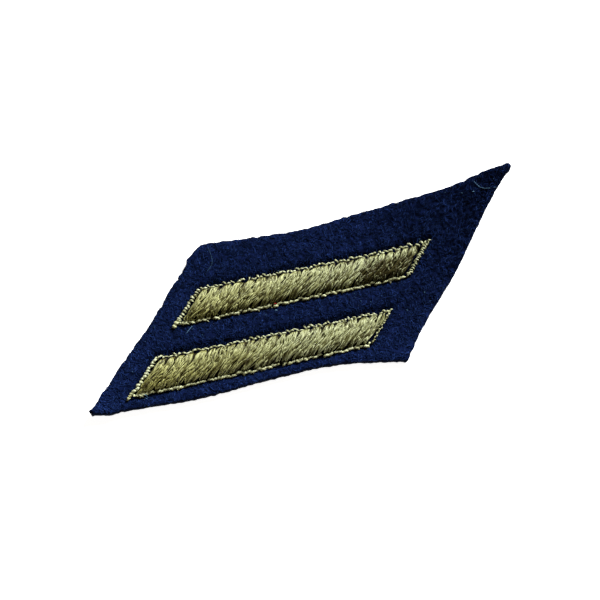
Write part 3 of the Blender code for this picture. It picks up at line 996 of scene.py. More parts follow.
def satin_strand(bar, along, first, last):
    """Paths, tones and golden shares of the plies of one satin stitch."""
    quad = satin_quads[bar]
    even = np.linspace(0, 1, PLY_RINGS)
    shares = (1 - EVEN_SHARE) * (0.5 - 0.5 * np.cos(np.pi * even)) + EVEN_SHARE * even
    across = ACROSS[first] + (ACROSS[last] - ACROSS[first]) * shares
    course = np.interp(across, ACROSS, along) / np.linalg.norm(quad[1] - quad[0])
    middle = place_in(quad, course, across)
    walked = walked_along(middle)
    from_hole = np.minimum(walked / NEAR_FAN, (walked[-1] - walked) / FAR_FAN)
    fan = np.sin(np.pi / 2 * np.clip(from_hole, 0, 1)) ** FAN_CURVE
    sideways = -line_between(middle[0], middle[-1])[2]
    width = STRAND_HALF_WIDTH * rng.uniform(*WIDTH_RANGE) * (NEAR_WIDENING - FAR_NARROWING * across)
    width = width * (1 - WORN_THINNING * worn_and_shaded_share(bar, course, across))
    spread = HOLE_HALF_WIDTH + (width - HOLE_HALF_WIDTH) * fan
    lift = rng.normal(0, STRAND_LIFT)
    lift = lift + STRAND_LIFT * np.sin(walked / WAVE_LENGTH * 2 * np.pi + rng.uniform(*WAVE_PHASES))
    tone = rng.normal(*STRAND_TONES) + ramps(across, STRAND_PAINTED_LIGHT_STEPS) - darkening_and_painted_shade(bar, course, across)
    phase = rng.uniform(0, 2 * np.pi)
    twist = 2 * np.pi * walked / (TWIST_LENGTH * rng.uniform(*TWIST_RANGE))
    paths, tones = [], []
    for ply in range(PLY_COUNT):
        angle = phase + 2 * np.pi * ply / PLY_COUNT + rng.normal(0, PLY_TURN_JITTER) + twist
        flat = middle + sideways * (spread * np.cos(angle))[:, None]
        height = FELT_THICKNESS + pad_height(flat, quad, across)
        height += (STRAND_CROWN * (1 + np.sin(angle)) + lift) * fan - HOLE_DEPTH * (1 - fan)
        paths.append(np.column_stack([flat, height]))
        # painted highlight on the upper plies and on lifted strands, painted shade at the holes
        bright = tone + rng.normal(0, PLY_TONE_SPREAD) + PLY_PAINTED_HIGHLIGHT * np.sin(angle)
        bright = bright + rng.normal(0, RING_TONE_SPREAD, PLY_RINGS) + LIFT_PAINTED_LIGHT * lift / MM
        tones.append(bright + HOLE_PAINTED_SHADE * (1 - fan))
    return paths, tones, [golden_share(bar, course.mean())] * PLY_COUNT


def satin_plies(bar):
    """Paths, radii, tones and golden shares of all the plies of one bar's satin stitches."""
    stitches = [satin_strand(bar, *course) for course in strands[bar]]
    paths, tones, golds = (np.concatenate(parts) for parts in zip(*stitches))
    slow = lumps(paths[..., :2].reshape(-1, 2), *SLOW_LUMPS).reshape(tones.shape)
    paths[..., 2] += heights(paths)
    thinner = np.ones(PLY_RINGS)
    thinner[[0, -1]] = PLY_END
    radii = PLY_RADIUS * rng.uniform(*PLY_RANGE, (len(paths), 1)) * thinner
    return paths, radii, tones + SLOW_TONE * slow, golds


for bar in BAR_NAMES:
    paths, radii, tones, golds = satin_plies(bar)
    satin = copies_along(f"satin_stitches_{bar}", paths, radii, tones, floss, sides=4, gold=golds)
    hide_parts(f"bar_{bar}")

# %% [markdown]
# ### Loose floss
# Floss is soft, and its outer filaments work loose. Short thick bright strokes follow one another
# along each strand, with a painted highlight along their middles. Finer ones lie at random between
# them, most at the sharp near corners, and a few stray ones cross the rest. Some strokes are dark,
# as painted shade between the bright ones. This gives the bars their furry look. The floss is
# tangled at the left ends, and short and thin where the upper bar is worn, with more painted shade
# there. At the far side the strands are pulled tight, so nothing is loose close to those holes.

# %% Where the strokes of loose floss lie
STROKE_ROWS = np.array([-0.17, 0.0, 0.17]) * MM
STROKE_ROW_JITTER = 0.05 * MM
STROKE_STARTS = (0.0, 0.12)
STROKE_SPANS = (0.13, 0.30)
STROKE_GAPS = (-0.02, 0.06)
STROKE_TOP = 0.86
HIGH_STRETCH = 1.25
STRETCH_FROM = 0.45
FINE_OFFSET = 0.2 * MM
FINE_EVERYWHERE = {"count": 760, "places": (0.05, STROKE_TOP), "spans": (0.12, 0.26)}
FINE_AT_CORNER = {"count": 150, "places": (0.0, 0.42), "spans": (0.08, 0.17)}
CORNER_STRANDS = 11
END_CLEAR = 0.15 * MM
GAP_PLACE = 0.20
GAP_REACH = 0.30
GAP_CHANCE = 0.50
FRAYED_CHANCE = 0.15
KEEP_CHANCE = 1.05


def stroke_places(count):
    """Strokes that follow one another along each strand: the strand, middle, span and offset."""
    made = []
    for strand in range(count):
        for offset in STROKE_ROWS:
            place = rng.uniform(*STROKE_STARTS)
            while place < STROKE_TOP:
                span = rng.uniform(*STROKE_SPANS) * (HIGH_STRETCH if place > STRETCH_FROM else 1.0)
                made.append((strand, place + span / 2, span, offset + rng.normal(0, STROKE_ROW_JITTER)))
                place += span + rng.uniform(*STROKE_GAPS)
    return np.array(made)


def fine_strokes(strand_count, count, places, spans):
    """Fine strokes at random over the first strands: the strand, middle, span and offset."""
    return np.column_stack([rng.integers(0, strand_count, count), rng.uniform(*places, count),
                            rng.uniform(*spans, count), rng.normal(0, FINE_OFFSET, count)])


def way_at(ways, picked, across):
    """How far along the bar the picked strands are, at shares across it."""
    return ways[picked, np.rint(across * (len(ACROSS) - 1)).astype(int)]


def kept_strokes(bar, ways, length):
    """Each stroke's strand, middle, span, offset, place along the bar, fineness, and share of wear and
    painted shade.
    """
    thick = stroke_places(len(ways))
    fine = np.concatenate([fine_strokes(len(ways), **FINE_EVERYWHERE),
                           fine_strokes(CORNER_STRANDS, **FINE_AT_CORNER)])
    is_fine = np.repeat([False, True], [len(thick), len(fine)])
    picked, across, span, offset = np.concatenate([thick, fine]).T
    picked, across = picked.astype(int), np.minimum(across, STROKE_TOP)
    centre = way_at(ways, picked, across) + offset
    frayed_and_shaded = worn_and_shaded_share(bar, centre / length, across)
    gap = GAP_CHANCE * np.clip(1 - abs(across - GAP_PLACE) / GAP_REACH, 0, 1)
    lost = FRAYED_CHANCE * frayed_and_shaded + gap * (1 - frayed_and_shaded)
    kept = (centre > END_CLEAR) & (centre < length - END_CLEAR)
    kept &= rng.uniform(0, 1, len(kept)) < KEEP_CHANCE - lost
    return [each[kept, None] for each in (picked, across, span, offset, centre, is_fine, frayed_and_shaded)]


# %% How unevenly the strokes turn
THICK_TILT = 0.16
FINE_TILT = 0.26
STRAY_TILT = 0.40
MESSY_TILT = 0.60
FRAYED_TILT = 0.22
NEAR_TILT = (0.4, 0.0, 0.14)


def tilt_spread(across, is_fine, stray, messy, frayed_and_shaded):
    """The spread of the strokes' tilts, widest in the tangle at the bar's left end."""
    own = np.where(stray, STRAY_TILT, np.where(is_fine, FINE_TILT, THICK_TILT))
    return own + MESSY_TILT * messy + FRAYED_TILT * frayed_and_shaded + ramp(across, *NEAR_TILT)


# %% The tones of the strokes
# dark strokes are painted shade; the steps across the bar, the arch and the near rim light are painted
# light and shade
SHADE_STROKE_TONES = (-0.14, 0.10)
BRIGHT_TONE = 0.70
BRIGHT_SPREAD = 0.39
FAR_EVENNESS = (0.50, 0.75, 0.20)
STROKE_PAINTED_LIGHT_STEPS = ((0.20, 0.52, 0.32), (0.76, 0.90, -0.45))
ARCH_PAINTED_HIGHLIGHT = 0.08
NEAR_PAINTED_RIM_LIGHT = (0.22, 0.0, 0.95)
MESSY_DIMMING = 0.6
FRAYED_PAINTED_LIGHT_AND_SHADE = (-0.40, 0.15)


def stroke_tones(across, over, arch, dark, messy, frayed_and_shaded):
    """Dark strokes of painted shade among bright ones, with painted light by place; worn ones differ
    more.
    """
    spread = BRIGHT_SPREAD - ramp(across, *FAR_EVENNESS)
    dark_tones = rng.normal(*SHADE_STROKE_TONES, across.shape)
    tones = np.where(dark, dark_tones, BRIGHT_TONE + rng.normal(0, 1, across.shape) * spread)
    tones = tones + ramps(over, STROKE_PAINTED_LIGHT_STEPS) + ARCH_PAINTED_HIGHLIGHT * arch
    tones = tones + ramp(over, *NEAR_PAINTED_RIM_LIGHT) * (1 - MESSY_DIMMING * messy)
    return tones + frayed_and_shaded * np.where(dark, *FRAYED_PAINTED_LIGHT_AND_SHADE)


# %% Strokes of loose floss
STROKE_RINGS = 7
STROKE_RADIUS = 0.086 * MM
STROKE_RANGE = (0.65, 1.15)
STROKE_END = 0.45
FINE_RADIUS = 0.050 * MM
DARK_THINNING = 0.8
STRAY_THINNING = 0.6
FRAYED_THINNING = 0.34
STRAY_SHARE = 0.10
STRAY_STRETCH = 2.4
FRAYED_SHORTENING = 0.50
STROKE_LIMITS = (0.02, 0.91)
BUNCH_REACH = 1.3 * MM
BUNCH_LEAST = 0.25
MESSY_END = 0.10
MESSY_SIDE = 0.5
TILT_MEAN = -0.02
EDGE_CLEAR = 0.05 * MM
STROKE_LIFT = 0.17 * MM
LIFT_RANGE = (0.7, 1.15)
STRAY_LIFT = 0.10 * MM
STROKE_BOW = 0.05 * MM
FINE_BOWS = np.array([0.04, 0.13]) * MM
NEAR_LIFT = (0.4, 0.0, 0.11 * MM)
END_DROP = 0.07 * MM
HOLE_DROP = 0.06 * MM
HOLE_REACH = 0.32 * MM
# how many strokes are dark, as painted shade between the bright ones
SHADE_STROKE_SHARE = 0.26
FINE_SHADE_STROKE_SHARE = 0.32
FRAYED_SHADE_STROKE_SHARE = 0.40
DARKENING_AND_SHADE_SHARE = 0.15
# painted warm shade: the loose floss is more golden towards the near side, which lies in shade
NEAR_GOLD_GAIN = 1.3
FAR_GOLD_LOSS = 0.7


def loose_floss(bar):
    """Paths, radii, tones and golden shares of the loose filaments over one bar."""
    quad = satin_quads[bar]
    length = np.linalg.norm(quad[1] - quad[0])
    slant = np.linalg.norm(quad[3] - quad[0])
    ways = np.array([along for along, _, _ in strands[bar]])
    picked, across, span, offset, centre, is_fine, frayed_and_shaded = kept_strokes(bar, ways, length)
    shape = across.shape
    stray = is_fine & (rng.uniform(0, 1, shape) < STRAY_SHARE)
    messy = ramp(centre, MESSY_END * length, 0) * ramp(across, MESSY_SIDE, 0)
    span = span * (1 - FRAYED_SHORTENING * frayed_and_shaded) * np.where(stray, STRAY_STRETCH, 1)
    share = np.linspace(-0.5, 0.5, STROKE_RINGS)
    arch = np.cos(np.pi * share)
    over = np.clip(across + span * share, *STROKE_LIMITS)
    bunched = np.clip((1 - over) * slant / BUNCH_REACH, BUNCH_LEAST, 1)
    tilt = rng.normal(TILT_MEAN, tilt_spread(across, is_fine, stray, messy, frayed_and_shaded), shape)
    course = way_at(ways, picked, over) + offset * bunched
    course = course + span * slant * share * tilt + rng.normal(0, STROKE_ROW_JITTER, shape) * arch
    course = np.clip(course, EDGE_CLEAR, length - EDGE_CLEAR)
    flat = place_in(quad, course / length, over)
    dark_share = np.where(is_fine, FINE_SHADE_STROKE_SHARE, SHADE_STROKE_SHARE) + FRAYED_SHADE_STROKE_SHARE * frayed_and_shaded
    dark = rng.uniform(0, 1, shape) < dark_share
    lift = STROKE_LIFT * rng.uniform(*LIFT_RANGE, shape) + np.where(stray, STRAY_LIFT, 0)
    lift = lift + np.where(is_fine, rng.uniform(*FINE_BOWS, shape), STROKE_BOW) * arch
    lift = lift + ramp(over, *NEAR_LIFT) - END_DROP * (1 - arch)
    near = np.clip(np.minimum(over, 1 - over) * slant / HOLE_REACH, 0, 1)
    height = FELT_THICKNESS + pad_height(flat, quad, over) + lift * near - HOLE_DROP * (1 - near)
    paths = np.concatenate([flat, height[..., None]], axis=-1)
    paths[..., 2] += heights(paths)
    radii = np.where(is_fine, FINE_RADIUS, np.where(dark, DARK_THINNING, 1) * STROKE_RADIUS)
    radii = radii * np.where(stray, STRAY_THINNING, rng.uniform(*STROKE_RANGE, shape))
    radii = radii * (1 - FRAYED_THINNING * frayed_and_shaded) * pinched(arch, STROKE_END)
    # painted light and shade by the strokes' place across the bar
    tones = stroke_tones(across, over, arch, dark, messy, frayed_and_shaded)
    # painted shade and darkening on the strokes, as on the satin
    tones = tones - DARKENING_AND_SHADE_SHARE * darkening_and_painted_shade(bar, course / length, over)
    golds = golden_share(bar, course.mean(axis=1) / length)
    return paths, radii, tones, golds * (NEAR_GOLD_GAIN - FAR_GOLD_LOSS * across[:, 0])


for bar in BAR_NAMES:
    paths, radii, tones, golds = loose_floss(bar)
    loops = copies_along(f"loose_floss_{bar}", paths, radii, tones, floss, sides=4, gold=golds)

# %% [markdown]
# ### Padding
# The pad is coloured near black, as painted shade that shows between the strands. It starts as a
# welded copy of the bar's solid, sunk a little below the floss.

# %% Padding under the floss
PAD_SINK = 0.26 * MM


def padding(bar):
    """Make one bar's pad."""
    mesh = welded(f"bar_{bar}")
    for vertex in mesh.verts:
        vertex.co.z -= PAD_SINK
    made_mesh = bpy.data.meshes.new(f"padding_{bar}")
    mesh.to_mesh(made_mesh)
    mesh.free()
    made_mesh.materials.append(pad_painted_shade)
    made_mesh.shade_smooth()
    made = bpy.data.objects.new(f"padding_{bar}", made_mesh)
    bpy.context.scene.collection.objects.link(made)
    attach(made, "root")


for bar in BAR_NAMES:
    padding(bar)

# %% [markdown]
# ## The outline stitches
# One narrow row of stitching runs round each bar. The near side is a crinkled rope with a few
# breaks and burrs, a little more golden than the rest, and the far side a wandering line of
# beads. On the slanted ends of the upper bar the stitches lie side by side like rungs, and on
# those of the lower bar they follow one another. The sharp near corner ends in a short thick
# rope, and the near row starts a little way from it. The far corner ends in a wisp. Each stitch
# is a small arch of two twisted plies, pinched where it dives into its hole.

# %% The rows of the outline
# lengths are in mm and turns in degrees; breaks are how often a stitch is followed by a gap
ROPE = {"inset": 0.11, "pitch": (0.40, 0.90), "base": 0.27, "cover": 1.04, "turn": -2.0, "spread": 10.0,
        "zigzag": (0.0, 12.0), "swing": 0.045, "wander": 0.09, "breaks": 0.13, "trims": (1.05, 0.30),
        "ply": 0.112, "rise": 0.21, "tone": 0.77}
COMB = {"inset": 0.24, "pitch": (0.27, 0.37), "base": 0.62, "cover": 0.0, "turn": 84.0, "spread": 8.0,
        "zigzag": (0.0, 5.0), "swing": 0.05, "wander": 0.04, "breaks": 0.0, "trims": (0.25, 0.30),
        "ply": 0.068, "rise": 0.34, "tone": 0.66}
CHAIN = {"inset": 0.01, "pitch": (0.28, 0.40), "base": 0.14, "cover": 1.0, "turn": 12.0, "spread": 12.0,
         "zigzag": (0.0, 16.0), "swing": 0.04, "wander": 0.06, "breaks": 0.04, "trims": (0.25, 0.30),
         "ply": 0.064, "rise": 0.30, "tone": 0.42}
BEADS = {"inset": 0.26, "pitch": (0.32, 0.70), "base": 0.20, "cover": 0.98, "turn": 4.0, "spread": 18.0,
         "zigzag": (4.0, 42.0), "swing": 0.070, "wander": 0.14, "breaks": 0.03, "trims": (0.15, 0.10),
         "ply": 0.078, "rise": 0.34, "tone": 0.76}
RUNGS = {"inset": -0.02, "pitch": (0.40, 0.50), "base": 0.54, "cover": 0.0, "turn": 84.0, "spread": 9.0,
         "zigzag": (0.0, 6.0), "swing": 0.04, "wander": 0.05, "breaks": 0.0, "trims": (0.0, 0.70),
         "ply": 0.112, "rise": 0.40, "tone": 0.64}
OVALS = {"inset": 0.19, "pitch": (0.38, 0.50), "base": 0.34, "cover": 0.60, "turn": 22.0, "spread": 12.0,
         "zigzag": (0.0, 14.0), "swing": 0.050, "wander": 0.03, "breaks": 0.0, "trims": (0.0, 0.90),
         "ply": 0.124, "rise": 0.38, "tone": 1.0}
LOWER_BEADS = {**BEADS, "inset": 0.33}
BAR_ROWS = {"upper": (ROPE, COMB, BEADS, RUNGS), "lower": (ROPE, CHAIN, LOWER_BEADS, OVALS)}
BREAK_LENGTH = 0.36 * MM
LEAST_STITCH = 0.15 * MM
SLOW_WANDER = (0.6, 2.6 * MM)
QUICK_WANDER = (0.4, 1.1 * MM)
OFFSET_SPREAD = 0.03
LENGTH_RANGE = (0.82, 1.14)
STITCH_PLY_RANGE = (0.76, 1.18)
STITCH_TONE_SPREAD = 0.07


def waving(place, phase, height, length):
    """A slow wave along a row of stitches."""
    return height * math.sin(phase + 2 * math.pi * place / length)


def row_stitches(row, start, end):
    """Stitches along one side: each its two ends, its ply radius, its rise and its tone."""
    length, run, inwards = line_between(start, end)
    slow, quick = rng.uniform(0, 2 * np.pi, 2)
    place, flip, stitches = row["trims"][0] * MM, 1, []
    while place < length - row["trims"][1] * MM - LEAST_STITCH:
        flip = -flip
        pitch = rng.uniform(*row["pitch"]) * MM
        wander = waving(place, slow, *SLOW_WANDER) + waving(place, quick, *QUICK_WANDER)
        offset = flip * row["swing"] + row["wander"] * wander + rng.normal(0, OFFSET_SPREAD)
        middle = start + run * (place + pitch / 2) - inwards * offset * MM
        turn = math.radians(rng.normal(row["turn"], row["spread"]) + flip * rng.uniform(*row["zigzag"]))
        half = (row["base"] * MM + row["cover"] * pitch) * rng.uniform(*LENGTH_RANGE) / 2
        reach = (run * math.cos(turn) - inwards * math.sin(turn)) * half
        stitches.append((middle - reach, middle + reach, row["ply"] * rng.uniform(*STITCH_PLY_RANGE),
                         row["rise"], row["tone"] + rng.normal(0, STITCH_TONE_SPREAD)))
        place += pitch + BREAK_LENGTH * (rng.uniform() < row["breaks"])
    return stitches


# %% Single stitches at the corners
# lengths are in mm and turns in radians; a tip stitch has its place, turn, length and ply, and a
# loop its place, inset and turn; the tuft's place, inset and turn are means and spreads
TIP_STITCHES = {
    "upper": ((-0.10, -0.9, 0.52, 0.160), (0.44, -0.9, 0.70, 0.180), (1.02, -0.9, 0.56, 0.145)),
    "lower": ((-0.06, -0.35, 0.50, 0.125), (0.30, 0.25, 0.50, 0.130), (0.66, -0.30, 0.50, 0.108),
              (1.00, 0.20, 0.50, 0.100)),
}
TIP_INSET = 0.06
TIP = {"rise": 0.30, "tone": 0.62}
NEAR_LOOPS = ((0.78, 0.34, -0.75), (1.12, 0.30, 0.80), (1.42, 0.26, -0.55),
              (1.75, 0.38, 0.60), (2.10, 0.30, -0.65), (2.45, 0.42, 0.50))
NEAR_LOOP = {"length": 0.50, "ply": 0.078, "rise": 0.28}
FAR_LOOPS = ((0.22, 0.10, -0.30), (0.50, 0.20, 0.15), (0.78, 0.30, -0.20), (1.05, 0.42, 0.55))
FAR_LOOP = {"length": 0.50, "ply": 0.062, "rise": 0.30}
TUFT_LOOPS = {"upper": 3, "lower": 14}
TUFT_ALONG = (1.75, 0.42)
TUFT_INSET = (0.16, 0.20)
TUFT_TURN = (-0.5, 0.7)
TUFT_LENGTHS = (0.35, 0.75)
TUFT = {"ply": 0.050, "rise": 0.34, "tone": 0.84}
WISP_PLACE = (0.16, 0.14)
WISP = {"turn": -0.15, "length": 0.62, "ply": 0.034, "rise": 0.26, "tone": 0.80}
BEND_PLACE = (0.16, 0.30)
BEND = {"turn": 0.75, "length": 0.52, "ply": 0.078, "rise": 0.26}
BURR_COUNT = 10
BURR_PLACES = (0.10, 0.95)
BURR_OFFSET = 0.14
BURR_TURNS = (0.6, 1.3)
BURR_LENGTHS = (0.25, 0.45)
BURR = {"ply": 0.042, "rise": 0.16}


def single_stitch(middle, run, turn, length, ply, rise, tone=0.75):
    """One stitch given by its middle, and by how far it is turned from a line; lengths in mm."""
    heading = math.atan2(run[1], run[0]) + turn
    reach = np.array([math.cos(heading), math.sin(heading)]) * length * MM / 2
    return (middle - reach, middle + reach, ply, rise, tone)


def corner_stitches(quad, tip_stitches, tuft_count):
    """The thick stitches at the sharp near corner, the loops after it, and the far corner's wisp."""
    near_run, inwards = line_between(quad[0], quad[1])[1:]
    left_run = line_between(quad[0], quad[3])[1]
    right_run = line_between(quad[1], quad[2])[1]
    made = []
    for along, turn, length, ply in tip_stitches:
        middle = quad[0] + (left_run * along + inwards * TIP_INSET) * MM
        made.append(single_stitch(middle, left_run, turn, length, ply, **TIP))
    for along, inset, turn in NEAR_LOOPS:
        middle = quad[0] + (near_run * along + inwards * inset) * MM
        made.append(single_stitch(middle, near_run, turn, **NEAR_LOOP))
    for _ in range(tuft_count):
        middle = quad[0] + (near_run * rng.normal(*TUFT_ALONG) + inwards * rng.normal(*TUFT_INSET)) * MM
        turn = rng.normal(*TUFT_TURN)
        made.append(single_stitch(middle, near_run, turn, rng.uniform(*TUFT_LENGTHS), **TUFT))
    for back, inset, turn in FAR_LOOPS:
        middle = quad[2] - (right_run * back + (inwards + near_run) * inset / 2) * MM
        made.append(single_stitch(middle, right_run, turn, **FAR_LOOP))
    wisp = quad[2] - (near_run * WISP_PLACE[0] + inwards * WISP_PLACE[1]) * MM
    made.append(single_stitch(wisp, near_run, **WISP))
    bend = quad[1] - (near_run * BEND_PLACE[0] - inwards * BEND_PLACE[1]) * MM
    made.append(single_stitch(bend, near_run, **BEND))
    return made


def burrs(quad):
    """Short ends of thread that stick out of the near side's row."""
    length, run, inwards = line_between(quad[0], quad[1])
    made = []
    for share in rng.uniform(*BURR_PLACES, BURR_COUNT):
        side = rng.choice((-1, 1))
        middle = quad[0] + run * length * share - inwards * side * BURR_OFFSET * MM
        turn = -side * rng.uniform(*BURR_TURNS)
        made.append(single_stitch(middle, run, turn, rng.uniform(*BURR_LENGTHS), **BURR))
    return made


def stitch_list(bar):
    """Every outline stitch round one bar."""
    quad, rows = bar_quads[bar], BAR_ROWS[bar]
    lines = moved_sides(quad, [row["inset"] * MM for row in rows])
    stitches = corner_stitches(quad, TIP_STITCHES[bar], TUFT_LOOPS[bar]) + burrs(quad)
    for k, row in enumerate(rows):
        stitches += row_stitches(row, lines[k], lines[(k + 1) % 4])
    return stitches


# %% Sew the outlines
THREAD_PLIES = 2
THREAD_TWIST = 0.78 * MM
PLY_PLACE = 0.75
STITCH_RINGS = 11
STITCH_DIVE = 0.22
STITCH_BOW = 0.03 * MM
STITCH_END = 0.5
ARCH_CURVE = 0.4
THREAD_TONE_SPREAD = 0.15
THREAD_PLY_SPREAD = 0.10
# painted highlight on the upper ply, and painted shade where a stitch dives into its hole
THREAD_PAINTED_HIGHLIGHT = 0.14
THREAD_HOLE_PAINTED_SHADE = -0.45
NEAR_GOLD = 0.15
NEAR_SIDE = 0.7 * MM


def outline_plies(bar):
    """Paths, radii, tones and golden shares of all the plies of one bar's outline stitches."""
    share = np.linspace(0, 1, STITCH_RINGS)
    arch = np.clip(np.sin(np.pi * share), 0, 1)
    paths, tones, thick = [], [], []
    for start, end, ply_size, rise, row_tone in stitch_list(bar):
        length, _, leftwards = line_between(start, end)
        phase = rng.uniform(0, 2 * np.pi)
        tone = rng.normal(row_tone, THREAD_TONE_SPREAD)
        bow = rng.normal(0, STITCH_BOW) * arch
        middle = start + (end - start) * share[:, None] - leftwards * bow[:, None]
        radius = ply_size * MM * pinched(arch, STITCH_END)
        for ply in range(THREAD_PLIES):
            angle = phase + 2 * np.pi * (ply / THREAD_PLIES + share * length / THREAD_TWIST)
            flat = middle - leftwards * (PLY_PLACE * radius * np.cos(angle))[:, None]
            high = FELT_THICKNESS + (-STITCH_DIVE + (rise + STITCH_DIVE) * arch**ARCH_CURVE) * MM
            high = high + PLY_PLACE * radius * np.sin(angle)
            paths.append(np.column_stack([flat, high]))
            # painted highlight on the upper ply, painted shade at the holes
            bright = tone + rng.normal(0, THREAD_PLY_SPREAD) + THREAD_PAINTED_HIGHLIGHT * np.sin(angle)
            tones.append(bright + THREAD_HOLE_PAINTED_SHADE * (1 - arch**ARCH_CURVE))
            thick.append(radius)
    paths = np.array(paths)
    paths[..., 2] += heights(paths)
    inwards = line_between(*bar_quads[bar][:2])[2]
    from_near_side = (paths[:, STITCH_RINGS // 2, :2] - bar_quads[bar][0]) @ inwards
    golds = np.where(from_near_side < NEAR_SIDE, NEAR_GOLD, 0.0)
    return paths, np.array(thick), np.array(tones), golds


for bar in BAR_NAMES:
    paths, radii, tones, golds = outline_plies(bar)
    rows = copies_along(
        f"outline_stitches_{bar}", paths, radii, tones, outline_floss, sides=6, gold=golds)
    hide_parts(f"outline_{bar}")

# %% [markdown]
# ## The nap
# Fulled wool is a tangle of short curved fibres. They lie over the top of the felt and catch the
# light as pale and dark specks. Each is a thin rod bent along a random curl. A darker layer lies
# under a brighter one. Where a fibre would leave the cut edge, it turns and follows the edge.

# %% Nap fibres
NAP_RINGS = 5
NAP_TAPER = np.array([0.6, 1.0, 1.0, 0.9, 0.45])
NAP_RANGE = (0.6, 1.35)
NAP_LENGTHS = (0.3, 0.9)
NAP_CURL = 1.5
NAP_ARCH = 0.06
NAP_CLEAR = 0.12 * MM
NAP_LUMPS = (0.55 * MM, 31)
NAP_LUMP_TONE = 0.12
NAP_PAINTED_LIGHT_SHARE = 0.5
BAR_CLEAR = 0.10 * MM
TRIES_EACH = 4
EDGE_FUZZ = 0.07 * MM
EDGE_DROOP = 0.5
NAP_LAYERS = {
    "under": {"count": 6800, "radius": 0.036, "low": -0.02, "high": 0.03, "tone": (1.0, 4.6)},
    "over": {"count": 6800, "radius": 0.038, "low": 0.01, "high": 0.08, "tone": (0.75, 2.0)},
}


def curled_paths(roots, heading, lengths, curl):
    """Plan paths of short curled fibres that start at the roots."""
    share = np.linspace(0, 1, NAP_RINGS)
    facing = heading[:, None] + curl[:, None] * share
    step = lengths[:, None, None] / (NAP_RINGS - 1)
    steps = np.stack([np.cos(facing), np.sin(facing)], axis=-1) * step
    return roots[:, None, :] + np.cumsum(steps, axis=1) - steps[:, :1]


def on_felt(flat, rise):
    """Lift plan paths onto the felt's top, and lay what passes the cut edge along it."""
    places = flat.reshape(-1, 2).copy()
    to_edge, outwards = nearest_on_outline(places)
    inside = inside_outline(places)
    too_far = np.where(inside, 0, np.maximum(to_edge - EDGE_FUZZ, 0))
    places -= outwards * too_far[:, None]
    high = felt_top(places, to_edge) - np.where(inside, 0, EDGE_DROOP * to_edge)
    points = np.column_stack([places, high]).reshape(flat.shape[:2] + (3,))
    points[..., 2] += rise
    return points


def scattered(count, clear):
    """Random places on the felt, clear of the bars and of the cut edge."""
    low, high = outline.min(axis=0), outline.max(axis=0)
    tries = rng.uniform(low, high, (count * TRIES_EACH, 2))
    kept = inside_outline(tries) & (nearest_on_outline(tries)[0] > clear)
    for bar in BAR_NAMES:
        kept &= distance_outside(tries, bar_quads[bar]) > BAR_CLEAR
    return tries[kept][:count]


for layer, kind in NAP_LAYERS.items():
    roots = scattered(kind["count"], NAP_CLEAR)
    count = len(roots)
    flat = curled_paths(roots, rng.uniform(0, 2 * np.pi, count), rng.uniform(*NAP_LENGTHS, count) * MM,
                        rng.normal(0, NAP_CURL, count))
    arch = np.sin(np.pi * np.linspace(0, 1, NAP_RINGS))
    rise = rng.uniform(kind["low"], kind["high"], (count, 1)) * MM
    rise = rise + rng.uniform(0, NAP_ARCH, (count, 1)) * MM * arch
    radii = kind["radius"] * MM * rng.uniform(*NAP_RANGE, (count, 1)) * NAP_TAPER
    tones = rng.beta(*kind["tone"], count) + NAP_LUMP_TONE * lumps(roots, *NAP_LUMPS)
    # painted light and shade on the nap, as on the sheet's top
    tones = tones + PAINTED_LIGHT_TONE * NAP_PAINTED_LIGHT_SHARE * painted_light_and_shade(roots)
    tones = np.repeat(tones[:, None], NAP_RINGS, axis=1)
    # painted shade on the nap beside the stitching
    nap = copies_along(f"felt_nap_{layer}", on_felt(flat, rise), radii, tones, felt_fibre,
                       shade=stitch_shade(roots))

# %% [markdown]
# ## Loose hairs and lint
# Felt collects stray hairs. A few thin pale ones lie curled over it, with some specks of pale
# lint, a tuft at the lower bar's near corner and one red fibre on the upper bar's near row.
# Each is a bent copy of the same rod, laid on the felt.

# %% Hairs, specks and tuft
HAIR_RINGS = 13
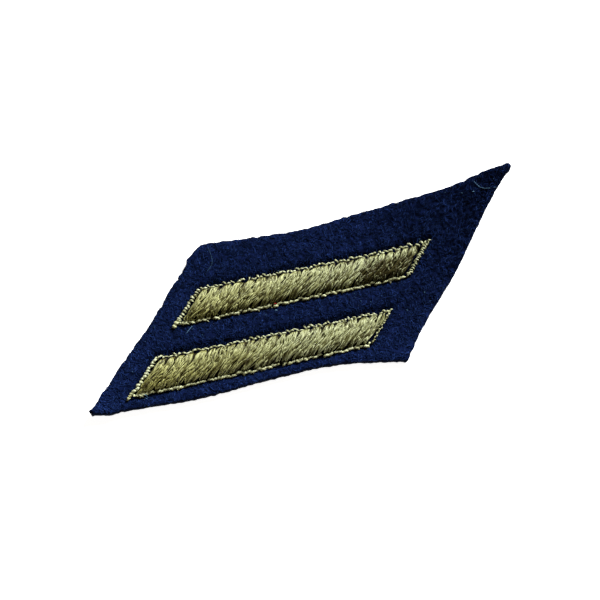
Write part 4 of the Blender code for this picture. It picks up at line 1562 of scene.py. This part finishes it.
# each hair has its points and its radius, in mm, and its tone
HAIR_WAYS = (
    (((-8.26, 12.73), (-8.01, 11.44), (-7.93, 10.03), (-8.67, 9.12), (-9.48, 8.54)), 0.020, 0.15),
    (((-12.40, 1.66), (-12.91, 1.08), (-13.60, 0.50)), 0.028, 0.70),
    (((29.75, 12.42), (30.08, 11.57), (30.60, 10.93), (31.45, 10.59), (32.35, 10.51)), 0.028, 0.42),
    (((29.25, 11.00), (29.55, 10.94)), 0.060, 0.85),
    (((-1.02, 1.28), (-0.72, 1.22)), 0.055, 0.95),
    (((-20.9, -6.75), (-20.45, -6.95), (-20.1, -7.35)), 0.028, 0.50),
    (((-20.6, -6.60), (-20.2, -6.80), (-20.0, -7.15)), 0.028, 0.46),
)
RED_WAYS = ((((-1.00, 2.02), (-0.81, 2.12), (-0.62, 2.04)), 0.050, 0.7),)
HAIR_LIFT = 0.06
HAIR_ARCH = 0.08
HAIR_END = 0.5
SMOOTHING_ROUNDS = 2
OVER_STITCHES = PRESS_DEPTH + 0.25 * MM
STITCH_REACH = 0.2 * MM
SPECK_COUNT = 26
SPECK_CLEAR = 0.3 * MM
SPECK_HALVES = (0.06, 0.16)
SPECK_RADII = (0.025, 0.045)
SPECK_TONES = (0.05, 0.32)


def hair_paths(ways):
    """Paths, radii and tones of hairs that lie on the felt, given by points in mm."""
    arch = np.sin(np.pi * np.linspace(0, 1, HAIR_RINGS))
    paths, radii, tones = [], [], []
    for points, radius, tone in ways:
        line = resampled(np.array(points) * MM, HAIR_RINGS - 1)
        for _ in range(SMOOTHING_ROUNDS if len(points) > 2 else 0):
            line[1:-1] = (line[:-2] + 2 * line[1:-1] + line[2:]) / 4
        high = felt_top(line, nearest_on_outline(line)[0]) + (HAIR_LIFT + HAIR_ARCH * arch) * MM
        for bar in BAR_NAMES:
            high += ramp(distance_outside(line, bar_quads[bar]), STITCH_REACH, 0, OVER_STITCHES)
        paths.append(np.column_stack([line, high]))
        radii.append(radius * MM * pinched(arch, HAIR_END))
        tones.append(np.full(HAIR_RINGS, tone))
    return np.array(paths), np.array(radii), np.array(tones)


def speck_ways():
    """Short bits of pale lint here and there on the felt."""
    middles = scattered(SPECK_COUNT, SPECK_CLEAR) / MM
    turns = rng.uniform(0, 2 * np.pi, len(middles))
    half = rng.uniform(*SPECK_HALVES, len(middles))
    reach = np.column_stack([np.cos(turns), np.sin(turns)]) * half[:, None]
    return [((tuple(m - r), tuple(m + r)), rng.uniform(*SPECK_RADII), rng.uniform(*SPECK_TONES))
            for m, r in zip(middles, reach)]


hairs = copies_along("loose_hairs", *hair_paths(list(HAIR_WAYS) + speck_ways()), pale_lint, sides=5)
red_bit = copies_along("red_fibre", *hair_paths(RED_WAYS), red_lint, sides=5)
